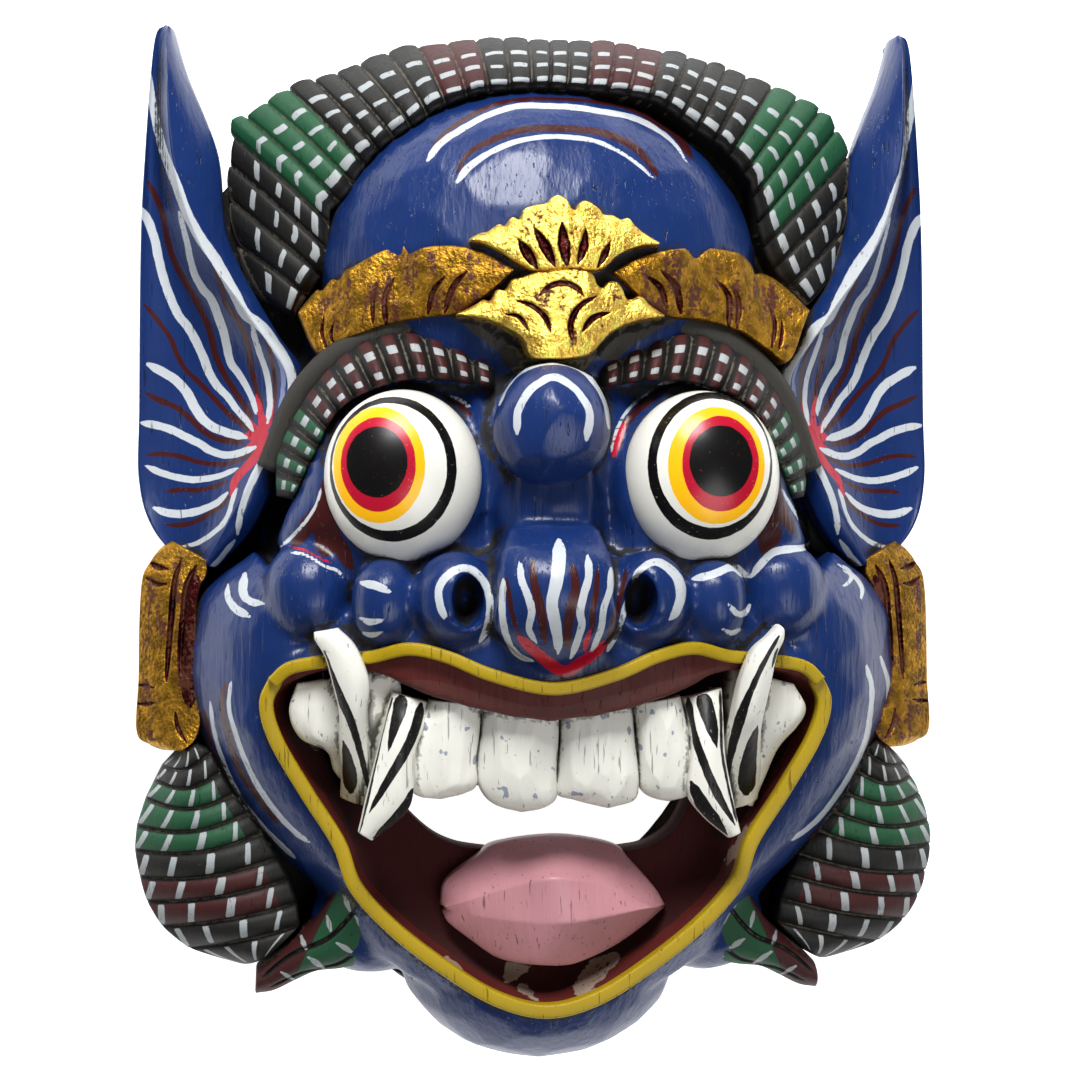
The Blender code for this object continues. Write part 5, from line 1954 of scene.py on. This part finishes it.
@dataclass
class Palette:
    """The materials, one for each finish."""

    materials: dict[str, bpy.types.Material] = field(default_factory=dict)

    def build(self) -> dict[str, bpy.types.Material]:
        """Makes every material."""
        brush, ageing, leaf = Effects.brush(), Effects.ageing(), Effects.leaf()
        for name, finish in FINISHES.items():
            self.materials[name] = self._material(name, finish, brush, ageing, leaf)
        return self.materials

    @staticmethod
    def _material(name: str, finish: Finish, *groups: bpy.types.NodeTree) -> bpy.types.Material:
        """The material of one finish.

        Args:
            name: Its name.
            finish: Its colours and how it has aged.
            groups: The effects: the brush's edge, the ageing with its dirt and painted shade, and the gold leaf.

        Returns:
            The material.
        """
        brush, ageing, leaf = groups
        material = bpy.data.materials.new(name)
        material.use_nodes = True
        graph = Graph(material.node_tree)
        colour, rough = finish.ground.value, finish.shine
        for layer in finish.layers:
            cover = graph.node("ShaderNodeGroup", {
                "Inside": graph.value(layer.value), "Wobble": layer.wobble,
            }, node_tree=brush)
            colour = graph.mix(cover.outputs["Cover"], colour, layer.colour.value)
            if layer.matt:
                rough = graph.math("MULTIPLY_ADD", cover.outputs["Cover"], layer.matt, rough)
        # How deep each point lies, which sets its dirt and painted shade.
        depth = graph.value("depth")
        aged = graph.node("ShaderNodeGroup", {
            "Colour": colour, "Depth": depth, "Grime": finish.grime,
            "Dirt": finish.grime_colour.value, "Rough": rough, "Grain": finish.grain,
        }, node_tree=ageing)
        colour, height, metal = aged.outputs["Colour"], aged.outputs["Height"], 0.0
        if finish.metal:
            gold = graph.node("ShaderNodeGroup", {
                "Colour": colour, "Under": Colour.BOLE.value, "Depth": depth, "Height": height,
                "Rubbed": finish.rubbed,
            }, node_tree=leaf)
            colour, height = gold.outputs["Colour"], gold.outputs["Height"]
            bare = graph.math("SUBTRACT", 1.0, aged.outputs["Cover"], clamp=True)
            metal = graph.math("MULTIPLY", gold.outputs["Metal"], bare)
        bump = graph.node("ShaderNodeBump", {"Height": height, "Strength": 0.45, "Distance": 0.0006})
        surface = graph.node("ShaderNodeBsdfPrincipled", {
            "Base Color": colour, "Roughness": aged.outputs["Rough"], "Metallic": metal,
            "Normal": bump.outputs[0], "Specular IOR Level": 0.35,
        })
        end = graph.node("ShaderNodeOutputMaterial")
        graph.tree.links.new(surface.outputs[0], end.inputs["Surface"])
        return material


@dataclass
class Studio:
    """The floor, the lights and the camera."""

    def build(self) -> None:
        """Sets all of them up."""
        self._floor()
        self._world()
        self._light("key", (-0.15, 1.0, 0.85), 0.5, 23.0)
        self._light("fill", (0.4, -0.5, 1.4), 0.8, 8.0)
        view = bpy.context.scene.view_settings
        view.view_transform = "Standard"
        self._camera()

    @staticmethod
    def _floor() -> None:
        """A wide pale floor."""
        corners = [(-30, -30, 0), (30, -30, 0), (30, 30, 0), (-30, 30, 0)]
        mesh = bpy.data.meshes.new("floor")
        mesh.from_pydata(corners, [], [(0, 1, 2, 3)])
        floor = link("floor", mesh)
        material = bpy.data.materials.new("paper")
        material.use_nodes = True
        surface = material.node_tree.nodes["Principled BSDF"]
        surface.inputs["Base Color"].default_value = (0.95, 0.95, 0.95, 1)
        surface.inputs["Roughness"].default_value = 0.9
        surface.inputs["Emission Color"].default_value = (1, 1, 1, 1)
        surface.inputs["Emission Strength"].default_value = 1.0
        mesh.materials.append(material)

    @staticmethod
    def _world() -> None:
        """An even white surrounding."""
        world = bpy.data.worlds.new("white")
        world.use_nodes = True
        background = world.node_tree.nodes["Background"]
        background.inputs["Color"].default_value = (1, 1, 1, 1)
        background.inputs["Strength"].default_value = 0.13
        bpy.context.scene.world = world

    @staticmethod
    def _light(name: str, place: tuple[float, float, float], size: float, power: float) -> None:
        """A large soft light aimed at the mask."""
        data = bpy.data.lights.new(name, "AREA")
        data.size = size
        data.energy = power
        lamp = bpy.data.objects.new(name, data)
        lamp.location = place
        lamp.rotation_euler = (-Vector(place)).to_track_quat("-Z", "Y").to_euler()
        bpy.context.scene.collection.objects.link(lamp)

    @staticmethod
    def _camera() -> None:
        """The photograph's camera."""
        data = bpy.data.cameras.new("camera")
        data.sensor_width = 36.0
        data.lens = data.sensor_width * Photo.reach / Photo.size
        data.clip_start = 0.01
        camera = bpy.data.objects.new("camera", data)
        bpy.context.scene.collection.objects.link(camera)
        camera.matrix_world = Matrix.Translation(Photo.place * MM) @ Photo.axes().to_4x4()
        bpy.context.scene.camera = camera


def show(piece: Piece, relief: Relief, materials: dict[str, bpy.types.Material]) -> bpy.types.Object:
    """Adds one piece to the scene, with its finish and its place in the model."""
    depth = relief.depth(piece.shape.points)
    # The mouth gets less dirt and painted shade from the relief; the face lays its own painted shade there.
    if "mouth" in piece.shape.values:
        depth -= 0.8 * smoothstep(-2, 1, piece.shape.values["mouth"])
    piece.shape.values["depth"] = depth
    for layer in FINISHES[piece.finish].layers:
        piece.shape.values.setdefault(layer.value, np.full(len(piece.shape.points), -7.0))
    mesh = to_mesh(piece.shape, piece.name)
    mesh.materials.append(materials[piece.finish])
    mesh.shade_smooth()
    obj = link(piece.name, mesh)
    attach(obj, BODY)
    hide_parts(NODE)
    return obj


def main() -> None:
    """Builds the scene."""
    logging.basicConfig(level=logging.INFO, format="%(message)s")
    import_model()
    pieces: list[Piece] = []
    for part in (Face(), Eyes(), Ears(), Hair(), Diadem(), Brows(), Mouth(), Jaw()):
        pieces += part.build()
    relief = Relief()
    for piece in pieces:
        relief.add(piece.shape.points)
    relief.finish()
    materials = Palette().build()
    for piece in pieces:
        obj = show(piece, relief, materials)
        log.info("%s: %d faces", piece.name, len(obj.data.polygons))
    Studio().build()


if __name__ == "__main__":
    main()
